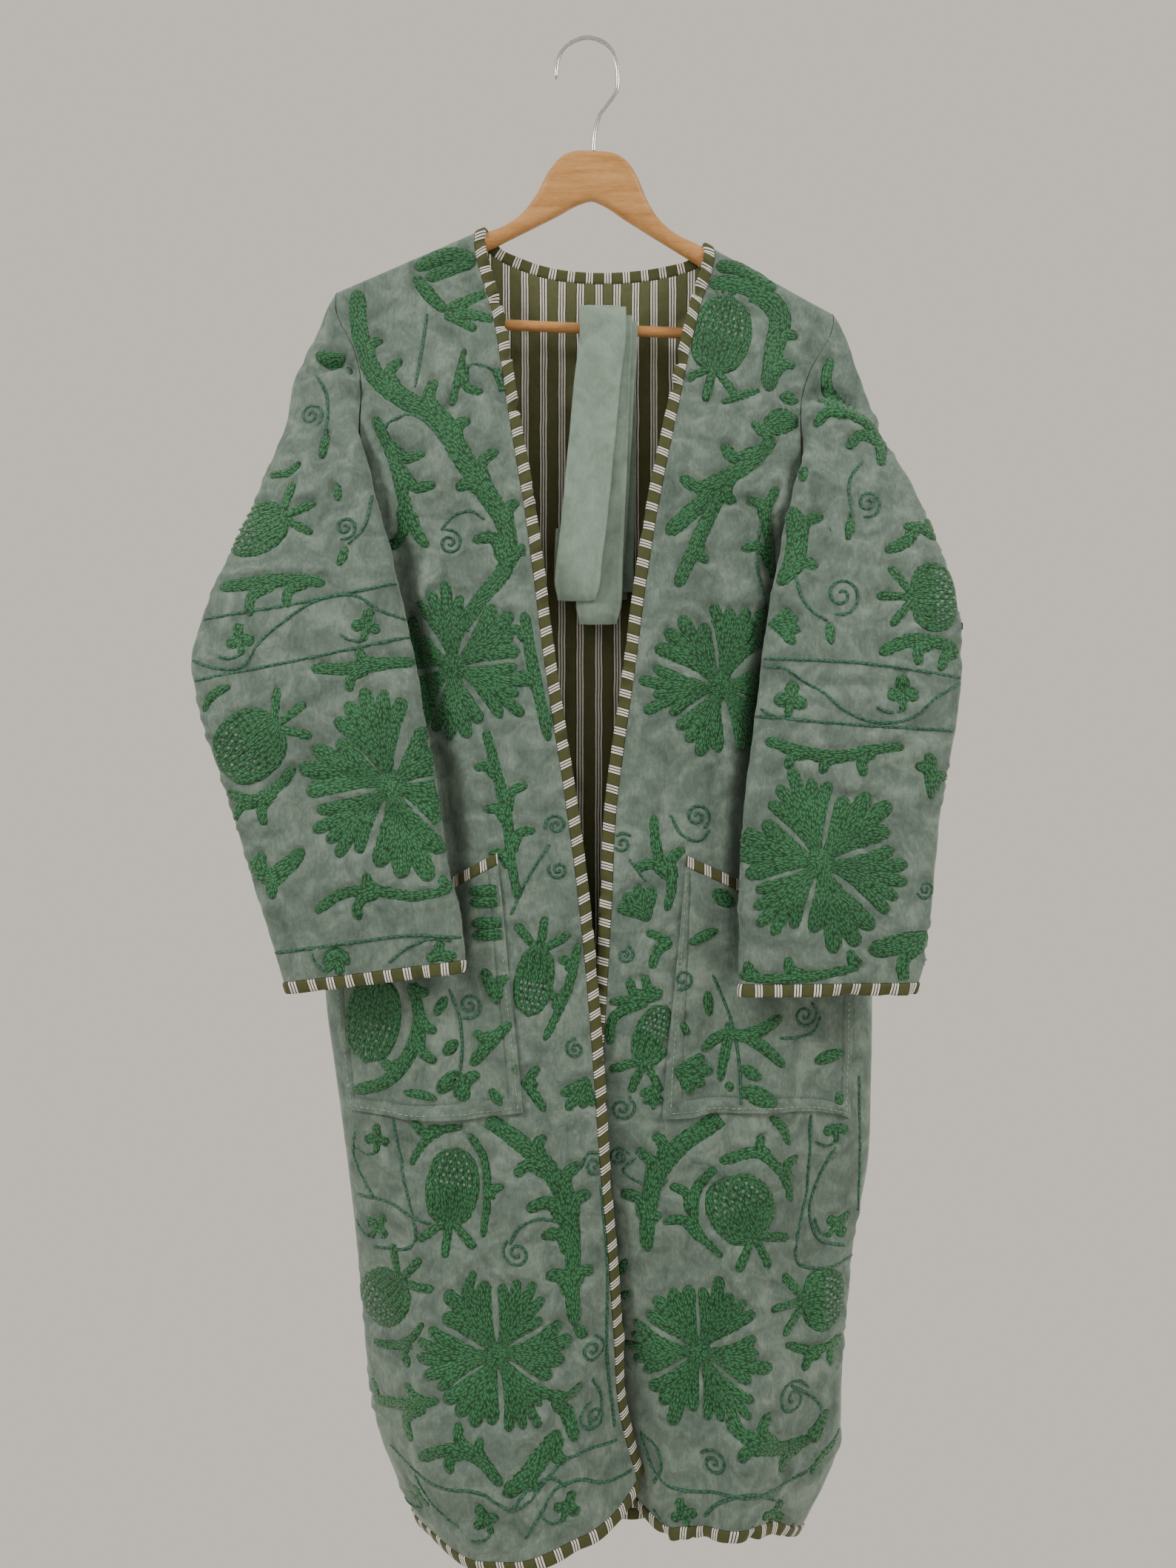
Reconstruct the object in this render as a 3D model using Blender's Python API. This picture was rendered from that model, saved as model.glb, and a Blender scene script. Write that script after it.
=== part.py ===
# A long open velvet robe, a chapan, hung on a wooden coat hanger.
# Metres, +Z up, the front of the robe faces -Y. The origin is the underside of the
# top of the hanger's wire hook, where a peg would hold it. Tables are in millimetres:
# drop is the distance below the origin, depth is the place along Y, left is the
# side at -X, which is on the left for someone who faces the robe.

import math

import bmesh
import bpy
import numpy as np
from mathutils import Vector

MM = 0.001

# Driving sizes, in millimetres
SEAM_GAP = 0.3
VELVET = 1.5
LINING = 0.9
CLOTH = VELVET + SEAM_GAP + LINING
BINDING_WIDTH = 10.6
BINDING_THICK = 4.4
BELT_WIDTH = 40.0
BELT_THICK = 2.6
POCKET_THICK = 1.8
POCKET_LIFT = 0.8
ARM_THICK = 12.0
SEAT_GAP = 0.3
RIDGE_RADIUS = ARM_THICK / 2 + SEAT_GAP + CLOTH
BAR_RADIUS = 4.7
WIRE_RADIUS = 1.9
HANGER_TILT = math.radians(2.7)
HANGER_TOP = Vector((7.0, 0.0, -97.0))
SIDE_SEAM_DEPTH = 3.15
LIP_CLEARANCE = 5.0
BACK_DEPTH = 24.0
ARMHOLE_ROUNDING = 15.0
SHOULDER_FALL = 110.0
NECK_FALL = 60.0
BACK_ROUNDING = 70.0
FRONT_ROUNDING = 32.0
UNDERARM_LEFT = 454.0
UNDERARM_RIGHT = 468.0


def level_slope(before, after):
    """The slope at a row, level where the curve turns, so that it never overshoots."""
    if before * after <= 0:
        return 0.0
    return 2 * before * after / (before + after)


class Table:
    """A short table with named columns, read as a smooth curve over its first column."""

    def __init__(self, names, rows):
        self.names = names.split()
        self.rows = np.array(rows, dtype=float)

    def at(self, key, name):
        keys = self.rows[:, 0]
        values = self.rows[:, self.names.index(name)]
        key = min(max(key, keys[0]), keys[-1])
        i = int(min(np.searchsorted(keys, key, side="right") - 1, len(keys) - 2))
        span = keys[i + 1] - keys[i]
        rises = np.diff(values) / np.diff(keys)
        before = level_slope(rises[i - 1], rises[i]) if i > 0 else rises[i]
        after = level_slope(rises[i], rises[i + 1]) if i + 2 < len(keys) else rises[i]
        f = (key - keys[i]) / span
        hermite = (2 * f ** 3 - 3 * f ** 2 + 1) * values[i] + (3 * f ** 2 - 2 * f ** 3) * values[i + 1]
        return hermite + span * ((f ** 3 - 2 * f ** 2 + f) * before + (f ** 3 - f ** 2) * after)


# The borders of the two fronts: the armhole and side seam, and the middle of the edge binding
OUTER = {
    "left": Table("drop x depth", [
        (226, -216, -9), (236, -216, -11), (264, -203, -15), (303, -193, -20), (357, -193, -22),
        (413, -203, -15), (454, -222, 2.85), (610, -226, 2.85), (829, -227, 2.85),
        (916, -216, 2.85), (1011, -204, 2.85), (1121, -193, 2.85), (1192, -186, 2.85),
        (1228, -174, 2.85), (1289, -147, 2.85)]),
    "right": Table("drop x depth", [
        (237, 214, -9), (251, 214, -11), (277, 200, -15), (319, 185, -20), (370, 184, -22),
        (426, 196, -15), (468, 218, 2.85), (610, 239, 2.85), (840, 250, 2.85), (985, 246, 2.85),
        (1039, 235, 2.85), (1102, 227, 2.85), (1231, 219, 2.85), (1267, 204, 2.85),
        (1303, 184, 2.85)]),
}
EDGE = {
    "left": Table("drop x depth", [
        (167, -91, -9), (180, -91, -10), (204, -86, -13), (248, -74, -20), (341, -59, -28), (432, -44, -36),
        (549, -29, -42), (674, -10, -46), (760, 1, -50), (847, 9, -54), (976, 18, -56),
        (1081, 27, -50), (1182, 34, -42), (1212, 42, -38), (1249, 52, -32)]),
    "right": Table("drop x depth", [
        (177, 106, -9), (194, 106, -10), (216, 99, -13), (266, 86, -20), (329, 73, -26), (397, 59, -32),
        (461, 48, -36), (568, 34, -40), (674, 20, -42), (761, 16, -44), (910, 9, -42),
        (986, 11, -37), (1081, 18, -28), (1178, 28, -18), (1272, 37, -10)]),
}
# The hem, from the side seam, across = 0, to the front edge, across = 1
HEM = {
    "left": Table("across drop", [
        (0, 1289), (0.15, 1288), (0.3, 1292), (0.45, 1291), (0.6, 1284), (0.75, 1277),
        (0.88, 1268), (1, 1249)]),
    "right": Table("across drop", [
        (0, 1303), (0.1, 1290), (0.25, 1277), (0.5, 1272), (0.8, 1282), (1, 1272)]),
}
# How far the middle of a front swells forward of the line between its borders
SWELL = Table("drop left right", [
    (230, 0, 0), (350, 5, 5), (600, 12, 12), (900, 20, 20), (1050, 30, 28), (1200, 56, 48),
    (1290, 68, 56)])
# The largest folds: place across the piece at its upper and lower end, width, and height
FOLD = "top_across low_across from_drop to_drop width height"
FRONT_FOLDS = {
    "left": Table(FOLD, [
        (0.30, 0.24, 880, 1400, 0.07, 7), (0.52, 0.47, 620, 1400, 0.08, -6),
        (0.74, 0.70, 900, 1400, 0.06, 6), (0.62, 0.80, 1080, 1400, 0.07, -11),
        (0.40, 0.55, 230, 620, 0.08, 4), (0.78, 0.62, 240, 560, 0.07, -4)]),
    "right": Table(FOLD, [
        (0.24, 0.20, 860, 1400, 0.07, -6), (0.40, 0.44, 640, 1400, 0.08, 7),
        (0.66, 0.70, 700, 1400, 0.07, -7), (0.86, 0.86, 980, 1400, 0.05, 6),
        (0.36, 0.52, 240, 640, 0.08, 4), (0.70, 0.62, 250, 600, 0.07, -4)]),
}
BACK_FOLDS = Table(FOLD, [
    (0.20, 0.16, 420, 1400, 0.05, -6), (0.36, 0.38, 600, 1400, 0.05, -5),
    (0.52, 0.55, 340, 1400, 0.05, -7), (0.68, 0.66, 640, 1400, 0.05, -5),
    (0.82, 0.86, 480, 1400, 0.05, -6)])
# The back's neckline, with drop 0 where it lies on the hanger's arm, and its armhole edges
NECKLINE = Table("x depth drop", [
    (-96.4, 0.15, 0), (-95.2, 3.8, 0), (-93.2, 7, 0), (-89.5, 9.2, 177), (-81, 11.8, 186),
    (-62, 14, 195), (-34, 15.9, 203.5), (0, 17, 207.5), (40, 16.4, 207), (72, 14.6, 203),
    (95, 12, 197), (104.7, 9.2, 191), (108.4, 7, 0), (110.4, 3.8, 0), (111.6, 0.15, 0)])
BACK_OUTER = {
    "left": Table("drop x depth", [
        (226, -216, 9), (236, -216, 10), (270, -208, 12), (330, -205, 15), (400, -209, 12), (454, -222, 3)]),
    "right": Table("drop x depth", [
        (237, 214, 9), (251, 214, 10), (282, 204, 12), (342, 199, 15), (414, 203, 12), (468, 218, 3)]),
}
# The top and the underside of half the wooden hanger: out from its middle, down from its top
WOOD_TOP = Table("out down", [
    (0, 0), (14, 0.4), (24, 3.5), (31, 9), (37, 17), (50, 43), (60, 57), (74, 68), (94, 77),
    (125, 92.2), (155, 106.9), (185, 121.6), (240, 148.5)])
WOOD_TIP = [(202, 131.4), (209, 137.5), (212, 146), (208, 158), (198, 166), (186, 166), (178, 160)]
WOOD_UNDER = [(178, 144), (150, 125), (120, 108.5), (90, 92), (60, 75.5), (30, 58.7), (8, 46)]
WOOD_APEX = (0, 43.5)
BAR_DOWN = 154.5
BAR_REACH = 177.6
# The wire of the hook, from its tip to the wood
HOOK_ROUTE = [
    (-26, -34), (-25.5, -24), (-22.5, -13), (-15, -4.2), (-5.5, 0.9), (4, 1.9), (14, -1.2),
    (22, -8.5), (26.5, -20), (28, -34), (26.2, -46), (19, -56.5), (12.3, -66), (8.4, -78), (7, -90)]
# The sleeves, one row for each section from the shoulder to the cuff: the place on the
# armhole where the section starts, its inner and outer fold, and its swell each way
SLEEVE = "section armhole x_in drop_in depth_in x_out drop_out depth_out front back"
SLEEVES = {
    "left": Table(SLEEVE, [
        (1, 240, -212, 240, -13, -226, 238, -1, 4, 3),
        (2, 270, -202, 270, -18, -237, 266, -3, 6, 5),
        (3, 300, -194, 300, -23, -252, 298, -7, 6, 7),
        (4, 336, -191, 336, -31, -261, 337, -10, 7, 8),
        (5, 373, -185, 373, -38, -271, 371, -13, 12, 9),
        (6, 411, -177, 404, -42, -282, 400, -16, 13, 9),
        (7, 454, -163, 454, -48, -304, 451, -22, 14, 9),
        (8, 500, -151, 505, -52, -325, 502, -28, 15, 9),
        (9, 546, -141, 550, -55, -334, 546, -32, 15, 9),
        (10, 590, -134, 592, -58, -325, 590, -36, 15, 9),
        (11, 650, -123, 651, -61, -304, 651, -42, 14, 9),
        (12, 708, -115, 708, -64, -285, 708, -48, 13, 9),
        (13, 756, -104, 752, -67, -267, 762, -53, 11, 8),
        (14, 800, -99, 792, -69, -251, 812, -58, 8, 7)]),
    "right": Table(SLEEVE, [
        (1, 259, 210, 259, -13, 224, 254, -1, 4, 3),
        (2, 288, 199, 288, -18, 233, 284, -4, 6, 5),
        (3, 317, 188, 317, -23, 243, 314, -8, 6, 7),
        (4, 353, 183, 353, -31, 260, 351, -11, 7, 8),
        (5, 389, 178, 388, -38, 277, 385, -15, 12, 9),
        (6, 426, 170, 422, -43, 291, 418, -20, 13, 9),
        (7, 468, 160, 468, -48, 308, 464, -26, 14, 9),
        (8, 515, 150, 518, -52, 318, 514, -31, 15, 9),
        (9, 566, 144, 568, -56, 317, 566, -35, 15, 9),
        (10, 618, 137, 620, -59, 309, 618, -39, 15, 9),
        (11, 676, 130, 678, -62, 297, 674, -45, 14, 9),
        (12, 730, 127, 732, -66, 291, 730, -50, 13, 9),
        (13, 776, 126, 778, -68, 285, 778, -55, 11, 8),
        (14, 812, 126, 812, -69, 277, 812, -58, 8, 7)]),
}
# How far back from the inner fold the underarm seam runs, from the armhole to the cuff
SEAM_SETBACK = Table("section setback", [(7, 60), (8, 46), (9, 38), (11, 30), (14, 24)])
# The pockets on the fronts: places across the front, and the drops of their inner and outer ends
POCKETS = {
    "left": dict(outer=0.055, inner_top=0.72, inner_low=0.735, top=(729, 770), low=(940, 928)),
    "right": dict(outer=0.10, inner_top=0.735, inner_low=0.79, top=(739, 798), low=(957, 943)),
}
# Where the sections of each piece lie
TOP_STEPS = (0.0, 0.5, 2.0, 4.6, 9.2, 20.0)
FRONT_ACROSS = (0, 0.015, 0.055, 0.12, 0.21, 0.31, 0.41, 0.51, 0.61, 0.72, 0.82, 0.91, 1)
ARMHOLE_SHARES = (0, 0.14, 0.28, 0.45, 0.62, 0.8, 0.91, 1)
ROWS_BELOW = 13
RIDGE_STEP = 9.2
BACK_SHOULDER_CELLS = 2
LOW_SECTIONS = (7.4, 8, 9, 10, 11, 12, 13, 14)
POCKET_ROWS = 8
SLEEVE_POINTS = 20
FOLD_ROUNDING = 9.0


def clear_scene():
    for old in list(bpy.data.objects):
        bpy.data.objects.remove(old, do_unlink=True)


def ease(value):
    """Rise smoothly from 0 to 1."""
    value = min(max(value, 0.0), 1.0)
    return value * value * (3 - 2 * value)


def paint(name, hex_code, roughness, metallic=0.0):
    """One material with a colour given as it looks on a screen."""
    material = bpy.data.materials.new(name)
    material.use_nodes = True
    surface = material.node_tree.nodes["Principled BSDF"]
    parts = [int(hex_code[i:i + 2], 16) / 255 for i in (1, 3, 5)]
    linear = [p / 12.92 if p <= 0.04045 else ((p + 0.055) / 1.055) ** 2.4 for p in parts]
    surface.inputs["Base Color"].default_value = (*linear, 1)
    surface.inputs["Roughness"].default_value = roughness
    surface.inputs["Metallic"].default_value = metallic
    return material


def add_object(name, bm, material):
    """Turn a bmesh in millimetres into a named object in metres."""
    bmesh.ops.recalc_face_normals(bm, faces=bm.faces)
    bmesh.ops.scale(bm, vec=(MM, MM, MM), verts=bm.verts)
    mesh = bpy.data.meshes.new(name)
    bm.to_mesh(mesh)
    bm.free()
    mesh.shade_smooth()
    mesh.set_sharp_from_angle(angle=math.radians(50))
    mesh.materials.append(material)
    made = bpy.data.objects.new(name, mesh)
    bpy.context.collection.objects.link(made)
    return made


def bridge_rings(bm, rings):
    """Join rings of vertices, each closed on itself, and cap the two ends."""
    count = len(rings[0])
    for lower, upper in zip(rings, rings[1:]):
        for i in range(count):
            j = (i + 1) % count
            bm.faces.new((lower[i], lower[j], upper[j], upper[i]))
    bm.faces.new(list(reversed(rings[0])))
    bm.faces.new(rings[-1])


def grid_normals(points, outward):
    """Normals of a grid of points, turned to the side that outward gives."""
    down = np.gradient(points, axis=0)
    across = np.gradient(points, axis=1)
    normals = np.cross(across, down)
    normals /= np.linalg.norm(normals, axis=2, keepdims=True)
    return normals * outward


def wall(name, points, normals, near, far, material, rising=False):
    """A closed wall between two distances from a grid of points, along its normals."""
    outer = points + normals * near
    inner = points + normals * far
    rows, columns = points.shape[:2]
    bm = bmesh.new()
    sides = []
    for skin in (outer, inner):
        sides.append([[bm.verts.new(skin[r, c]) for c in range(columns)] for r in range(rows)])
    for skin in sides:
        for r in range(rows - 1):
            for c in range(columns - 1):
                upper, lower = skin[r][c:c + 2], skin[r + 1][c:c + 2]
                halves = ((upper[0], upper[1], lower[1]), (upper[0], lower[1], lower[0]))
                if rising:
                    halves = ((upper[0], upper[1], lower[0]), (upper[1], lower[1], lower[0]))
                for corners in halves:
                    bm.faces.new(corners if skin is sides[0] else corners[::-1])
    border = [(0, c) for c in range(columns)] + [(r, columns - 1) for r in range(1, rows)]
    border += [(rows - 1, c) for c in range(columns - 2, -1, -1)] + [(r, 0) for r in range(rows - 2, 0, -1)]
    for a, b in zip(border, border[1:] + border[:1]):
        bm.faces.new((sides[0][a[0]][a[1]], sides[1][a[0]][a[1]], sides[1][b[0]][b[1]], sides[0][b[0]][b[1]]))
    bmesh.ops.triangulate(bm, faces=bm.faces)
    return add_object(name, bm, material)


def strip(name, edge, across, normals, material, width=BINDING_WIDTH, thick=BINDING_THICK,
          depth=BINDING_THICK / 2 - CLOTH):
    """A binding: a rounded strip that carries on from an edge, a seam's gap away."""
    bm = bmesh.new()
    rings = []
    shape = ((-0.5, -0.34), (-0.5, 0.34), (0.0, 0.5), (0.5, 0.2), (0.5, -0.2), (0.0, -0.5))
    for place, way, normal in zip(edge, across, normals):
        middle = place + way * (SEAM_GAP + width / 2) + normal * depth
        rings.append([bm.verts.new(middle + way * width * u + normal * thick * v) for u, v in shape])
    bridge_rings(bm, rings)
    bmesh.ops.triangulate(bm, faces=bm.faces)
    return add_object(name, bm, material)


def hanger_place(out, down, depth=0.0):
    """A place on the tilted hanger, from its own two measures."""
    turn, rise = math.cos(HANGER_TILT), math.sin(HANGER_TILT)
    return HANGER_TOP + Vector((out * turn - down * rise, depth, -out * rise - down * turn))


def ridge_drop(x):
    """The drop of the shoulder line's outer face above the hanger's arm at x."""
    out = x - HANGER_TOP.x
    for _ in range(4):
        down = WOOD_TOP.at(abs(out), "down")
        out = (x - HANGER_TOP.x + down * math.sin(HANGER_TILT)) / math.cos(HANGER_TILT)
    slope = (WOOD_TOP.at(abs(out) + 5, "down") - WOOD_TOP.at(abs(out) - 5, "down")) / 10
    lift = (SEAT_GAP + CLOTH) * math.hypot(1, slope)
    return -hanger_place(out, down).z - lift


def over_ridge(below, start=0.0):
    """How far cloth that hangs over the arm has come from its middle, below its top."""
    hidden = RIDGE_RADIUS - math.sqrt(RIDGE_RADIUS ** 2 - min(start, RIDGE_RADIUS) ** 2)
    left = max(RIDGE_RADIUS - below - hidden, 0.0)
    return max(math.sqrt(RIDGE_RADIUS ** 2 - left ** 2), start)


def fold_height(table, across, drop):
    """Sum of the soft folds at a place on a panel."""
    total = 0.0
    for top, low, start, end, width, height in table.rows:
        along = min(max((drop - start) / (end - start), 0.0), 1.0)
        middle = top + (low - top) * along
        total += height * ease(along * 3.0) * math.exp(-((across - middle) / width) ** 2)
    return total


def side_curve(part):
    """A quarter round, from a steep start to level."""
    return math.sqrt(1 - (1 - min(max(part, 0.0), 1.0)) ** 2)


def front_point(side, across, below, along):
    """A place on a front's outer face. below is in mm under the shoulder, along is the rest."""
    sign = -1 if side == "left" else 1
    outer, edge = OUTER[side], EDGE[side]
    inset = BINDING_WIDTH / 2 + SEAM_GAP

    def drop_at(top, bottom):
        if below is not None:
            return top + below
        return top + TOP_STEPS[-1] + (bottom - top - TOP_STEPS[-1]) * along

    hem_rise = BINDING_WIDTH + SEAM_GAP
    outer_top = ridge_drop(outer.rows[0, 1])
    edge_top_x = edge.rows[0, 1] + sign * inset
    edge_top = ridge_drop(edge_top_x)
    drop_outer = drop_at(outer_top, HEM[side].at(0, "drop") - hem_rise)
    drop_edge = drop_at(edge_top, HEM[side].at(1, "drop") - hem_rise)
    x_outer = outer.at(drop_outer, "x")
    x_edge = edge.at(drop_edge, "x") + sign * inset
    x = x_outer + (x_edge - x_outer) * across
    x_top = outer.rows[0, 1] + (edge_top_x - outer.rows[0, 1]) * across
    top = ridge_drop(x_top)
    drop = drop_at(top, HEM[side].at(across, "drop") - hem_rise)
    armhole = ease((drop_outer - 330) / 120)
    rounding = ARMHOLE_ROUNDING * armhole * side_curve(across * abs(x_edge - x_outer) / FRONT_ROUNDING)
    depth = outer.at(drop_outer, "depth") * (1 - across) + edge.at(drop_edge, "depth") * across
    depth -= rounding * (1 - across)
    depth -= SWELL.at(drop, side) * 4 * across * (1 - across)
    depth -= fold_height(FRONT_FOLDS[side], across, drop) * min(1, 8 * across, 8 * (1 - across))
    fallen = drop - top
    depth = -over_ridge(fallen, SEAM_GAP / 2) + ease(fallen / SHOULDER_FALL) * (depth + RIDGE_RADIUS)
    return (x, depth, -drop)


def armhole_drops(side):
    """The drops of the rows along the armhole, from just under the shoulder to the underarm."""
    underarm = UNDERARM_LEFT if side == "left" else UNDERARM_RIGHT
    top = ridge_drop(OUTER[side].rows[0, 1]) + TOP_STEPS[-1]
    return [top + (underarm - top) * part for part in ARMHOLE_SHARES]


def front_rows(side):
    """The rows of a front: near the shoulder by drop, then down to the hem by share."""
    rows = [(step, None) for step in TOP_STEPS]
    drops = armhole_drops(side)
    top, underarm = drops[0], drops[-1]
    bottom = HEM[side].at(0, "drop") - BINDING_WIDTH - SEAM_GAP
    drops = drops[1:] + [underarm + (bottom - underarm) * i / ROWS_BELOW for i in range(1, ROWS_BELOW + 1)]
    return rows + [(None, (drop - top) / (bottom - top)) for drop in drops]


def front_grid(side):
    rows = front_rows(side)
    points = np.array([[front_point(side, across, *row) for across in FRONT_ACROSS] for row in rows])
    normals = grid_normals(points, 1 if side == "right" else -1)
    return points, settle_normals(points, normals, seam_column=0, side=side)


def round_normals(points, normals):
    """Over the hanger's arm, normals are those of the round that the cloth makes."""
    for r in range(TOP_STEPS.index(RIDGE_STEP) + 1):
        for c in range(points.shape[1]):
            x, depth, _ = points[r, c]
            if abs(depth) > RIDGE_RADIUS - 0.02:
                continue
            slope = (ridge_drop(x + 2) - ridge_drop(x - 2)) / 4
            ridge = np.array([slope, 0, 1]) / math.hypot(slope, 1)
            lean = 0.0 if abs(depth) < SEAM_GAP else depth / RIDGE_RADIUS
            normals[r, c] = ridge * math.sqrt(1 - lean ** 2) + np.array([0, lean, 0])
        for c in range(points.shape[1]):
            spare = abs(points[r, c, 1]) - RIDGE_RADIUS
            if -0.02 <= spare < 4:
                square = np.array([0, math.copysign(1, points[r, c, 1]), 0])
                normals[r, c] = square + (normals[r, c] - square) * ease(spare / 4)


def settle_normals(points, normals, seam_column, side):
    """Square the edges that meet another piece: up at the shoulder, sideways at the side seam."""
    underarm = UNDERARM_LEFT if side == "left" else UNDERARM_RIGHT
    round_normals(points, normals)
    sign = -1 if side == "left" else 1
    for r in range(len(points)):
        part = ease((-points[r, seam_column, 2] - underarm + 45) / 40)
        normals[r, seam_column, 1] *= 1 - part
        if normals[r, seam_column, 0] * sign < 0:
            normals[r, seam_column, 0] = 0
    normals /= np.linalg.norm(normals, axis=2, keepdims=True)
    return normals


def back_columns():
    """The top of each column of the back: x, depth and drop, along shoulder, neck and shoulder."""
    left, right = BACK_OUTER["left"].rows[0, 1], BACK_OUTER["right"].rows[0, 1]
    neck = [tuple(row) for row in NECKLINE.rows]
    tops = []
    for i in range(BACK_SHOULDER_CELLS):
        x = left + (neck[0][0] - left) * i / BACK_SHOULDER_CELLS
        tops.append((x, SEAM_GAP / 2, ridge_drop(x)))
    for x, depth, drop in neck:
        if drop == 0:
            drop = ridge_drop(x) + RIDGE_RADIUS - math.sqrt(RIDGE_RADIUS ** 2 - depth ** 2)
        tops.append((x, depth, drop))
    for i in range(1, BACK_SHOULDER_CELLS + 1):
        x = neck[-1][0] + (right - neck[-1][0]) * i / BACK_SHOULDER_CELLS
        tops.append((x, SEAM_GAP / 2, ridge_drop(x)))
    return tops


def back_side(side, drop):
    """The back's border at a drop: the armhole edge, then the front's own side seam."""
    table = BACK_OUTER[side]
    if drop <= table.rows[-1, 0]:
        return table.at(drop, "x"), table.at(drop, "depth")
    return OUTER[side].at(drop, "x"), SIDE_SEAM_DEPTH


def back_point(top, high, low, below, along):
    """A place on the back's outer face. It is high across at the top and low across below."""
    x_top, depth_top, drop_top = top
    hem_rise = BINDING_WIDTH + SEAM_GAP
    hem = {side: HEM[side].at(0, "drop") - hem_rise for side in HEM}
    tops = {side: ridge_drop(BACK_OUTER[side].rows[0, 1]) for side in HEM}

    def drop_at(start, bottom):
        if below is not None:
            return start + below
        return start + TOP_STEPS[-1] + (bottom - start - TOP_STEPS[-1]) * along

    x_left, depth_left = back_side("left", drop_at(tops["left"], hem["left"]))
    x_right, depth_right = back_side("right", drop_at(tops["right"], hem["right"]))
    drop = drop_at(drop_top, hem["left"] + (hem["right"] - hem["left"]) * low)
    across = high + (low - high) * ease((drop - drop_top - 10) / 240)
    x = x_left + (x_right - x_left) * across
    from_side = min(x - x_left, x_right - x)
    border = depth_left if x - x_left < x_right - x else depth_right
    depth = border + (BACK_DEPTH - border) * side_curve(from_side / BACK_ROUNDING)
    depth += fold_height(BACK_FOLDS, across, drop) * min(1, from_side / 60)
    fallen = drop - drop_top
    start = over_ridge(fallen, depth_top)
    fall = SHOULDER_FALL + (NECK_FALL - SHOULDER_FALL) * ease((depth_top - RIDGE_RADIUS) / 5)
    return (x, start + ease(fallen / fall) * (depth - max(RIDGE_RADIUS, depth_top)), -drop)


def back_grid():
    tops = back_columns()
    left, right, last = tops[0][0], tops[-1][0], len(tops) - 1
    points = []
    for (below, along), (_, along_right) in zip(front_rows("left"), front_rows("right")):
        row = []
        for i, top in enumerate(tops):
            share = None if along is None else along + (along_right - along) * i / last
            row.append(back_point(top, (top[0] - left) / (right - left), i / last, below, share))
        points.append(row)
    points = np.array(points)
    normals = grid_normals(points, 1)
    first, last = BACK_SHOULDER_CELLS, BACK_SHOULDER_CELLS + len(NECKLINE.rows) - 1
    down = np.gradient(points, axis=0)
    for corner, before, after in ((first, first - 1, first + 3), (last - 2, last - 3, last + 1)):
        across = points[:, after] - points[:, before]
        facing = np.cross(across, down[:, corner + 1])
        facing /= np.linalg.norm(facing, axis=1, keepdims=True)
        for column in range(corner, corner + 3):
            normals[:, column] = facing
    round_normals(points, normals)
    for column, underarm in ((0, UNDERARM_LEFT), (-1, UNDERARM_RIGHT)):
        for r in range(len(points)):
            part = ease((-points[r, column, 2] - underarm + 45) / 40)
            normals[r, column, 1] *= 1 - part
    normals /= np.linalg.norm(normals, axis=2, keepdims=True)
    return points, normals


def armhole_point(side, drop, piece):
    """A place on the armhole's edge of the front or the back, at a drop."""
    top = ridge_drop(OUTER[side].rows[0, 1])
    bottom = HEM[side].at(0, "drop") - BINDING_WIDTH - SEAM_GAP
    below, along = drop - top, None
    if below > TOP_STEPS[-1]:
        along = (below - TOP_STEPS[-1]) / (bottom - top - TOP_STEPS[-1])
        below = None
    if piece == "front":
        return np.array(front_point(side, 0, below, along))
    tops = back_columns()
    if side == "left":
        return np.array(back_point(tops[0], 0, 0, below, along))
    return np.array(back_point(tops[-1], 1, 1, below, along))


def even_out(points, count):
    """Spread a number of places evenly along a smooth curve through the given ones."""
    points = np.array(points, dtype=float)
    fine = []
    for i in range(len(points) - 1):
        before = points[max(i - 1, 0)]
        a, b = points[i], points[i + 1]
        after = points[min(i + 2, len(points) - 1)]
        for f in np.linspace(0, 1, 12, endpoint=False):
            fine.append(0.5 * (2 * a + (b - before) * f + (2 * before - 5 * a + 4 * b - after) * f ** 2
                               + (3 * a - 3 * b + after - before) * f ** 3))
    fine.append(points[-1])
    fine = np.array(fine)
    steps = np.concatenate([[0], np.cumsum(np.linalg.norm(np.diff(fine, axis=0), axis=1))])
    wanted = np.linspace(0, steps[-1], count)
    return np.stack([np.interp(wanted, steps, fine[:, k]) for k in range(3)], axis=1)


def front_face(side, x, drop):
    """The depth of a front's outer face at a place behind the sleeve's inner fold."""
    sign = -1 if side == "left" else 1
    x_outer = OUTER[side].at(drop, "x")
    x_edge = EDGE[side].at(drop, "x") + sign * (BINDING_WIDTH / 2 + SEAM_GAP)
    top = ridge_drop(OUTER[side].rows[0, 1]) + TOP_STEPS[-1]
    bottom = HEM[side].at(0, "drop") - BINDING_WIDTH - SEAM_GAP
    across = min(max((x - x_outer) / (x_edge - x_outer), 0.0), 1.0)
    return front_point(side, across, None, (drop - top) / (bottom - top))[1]


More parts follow.
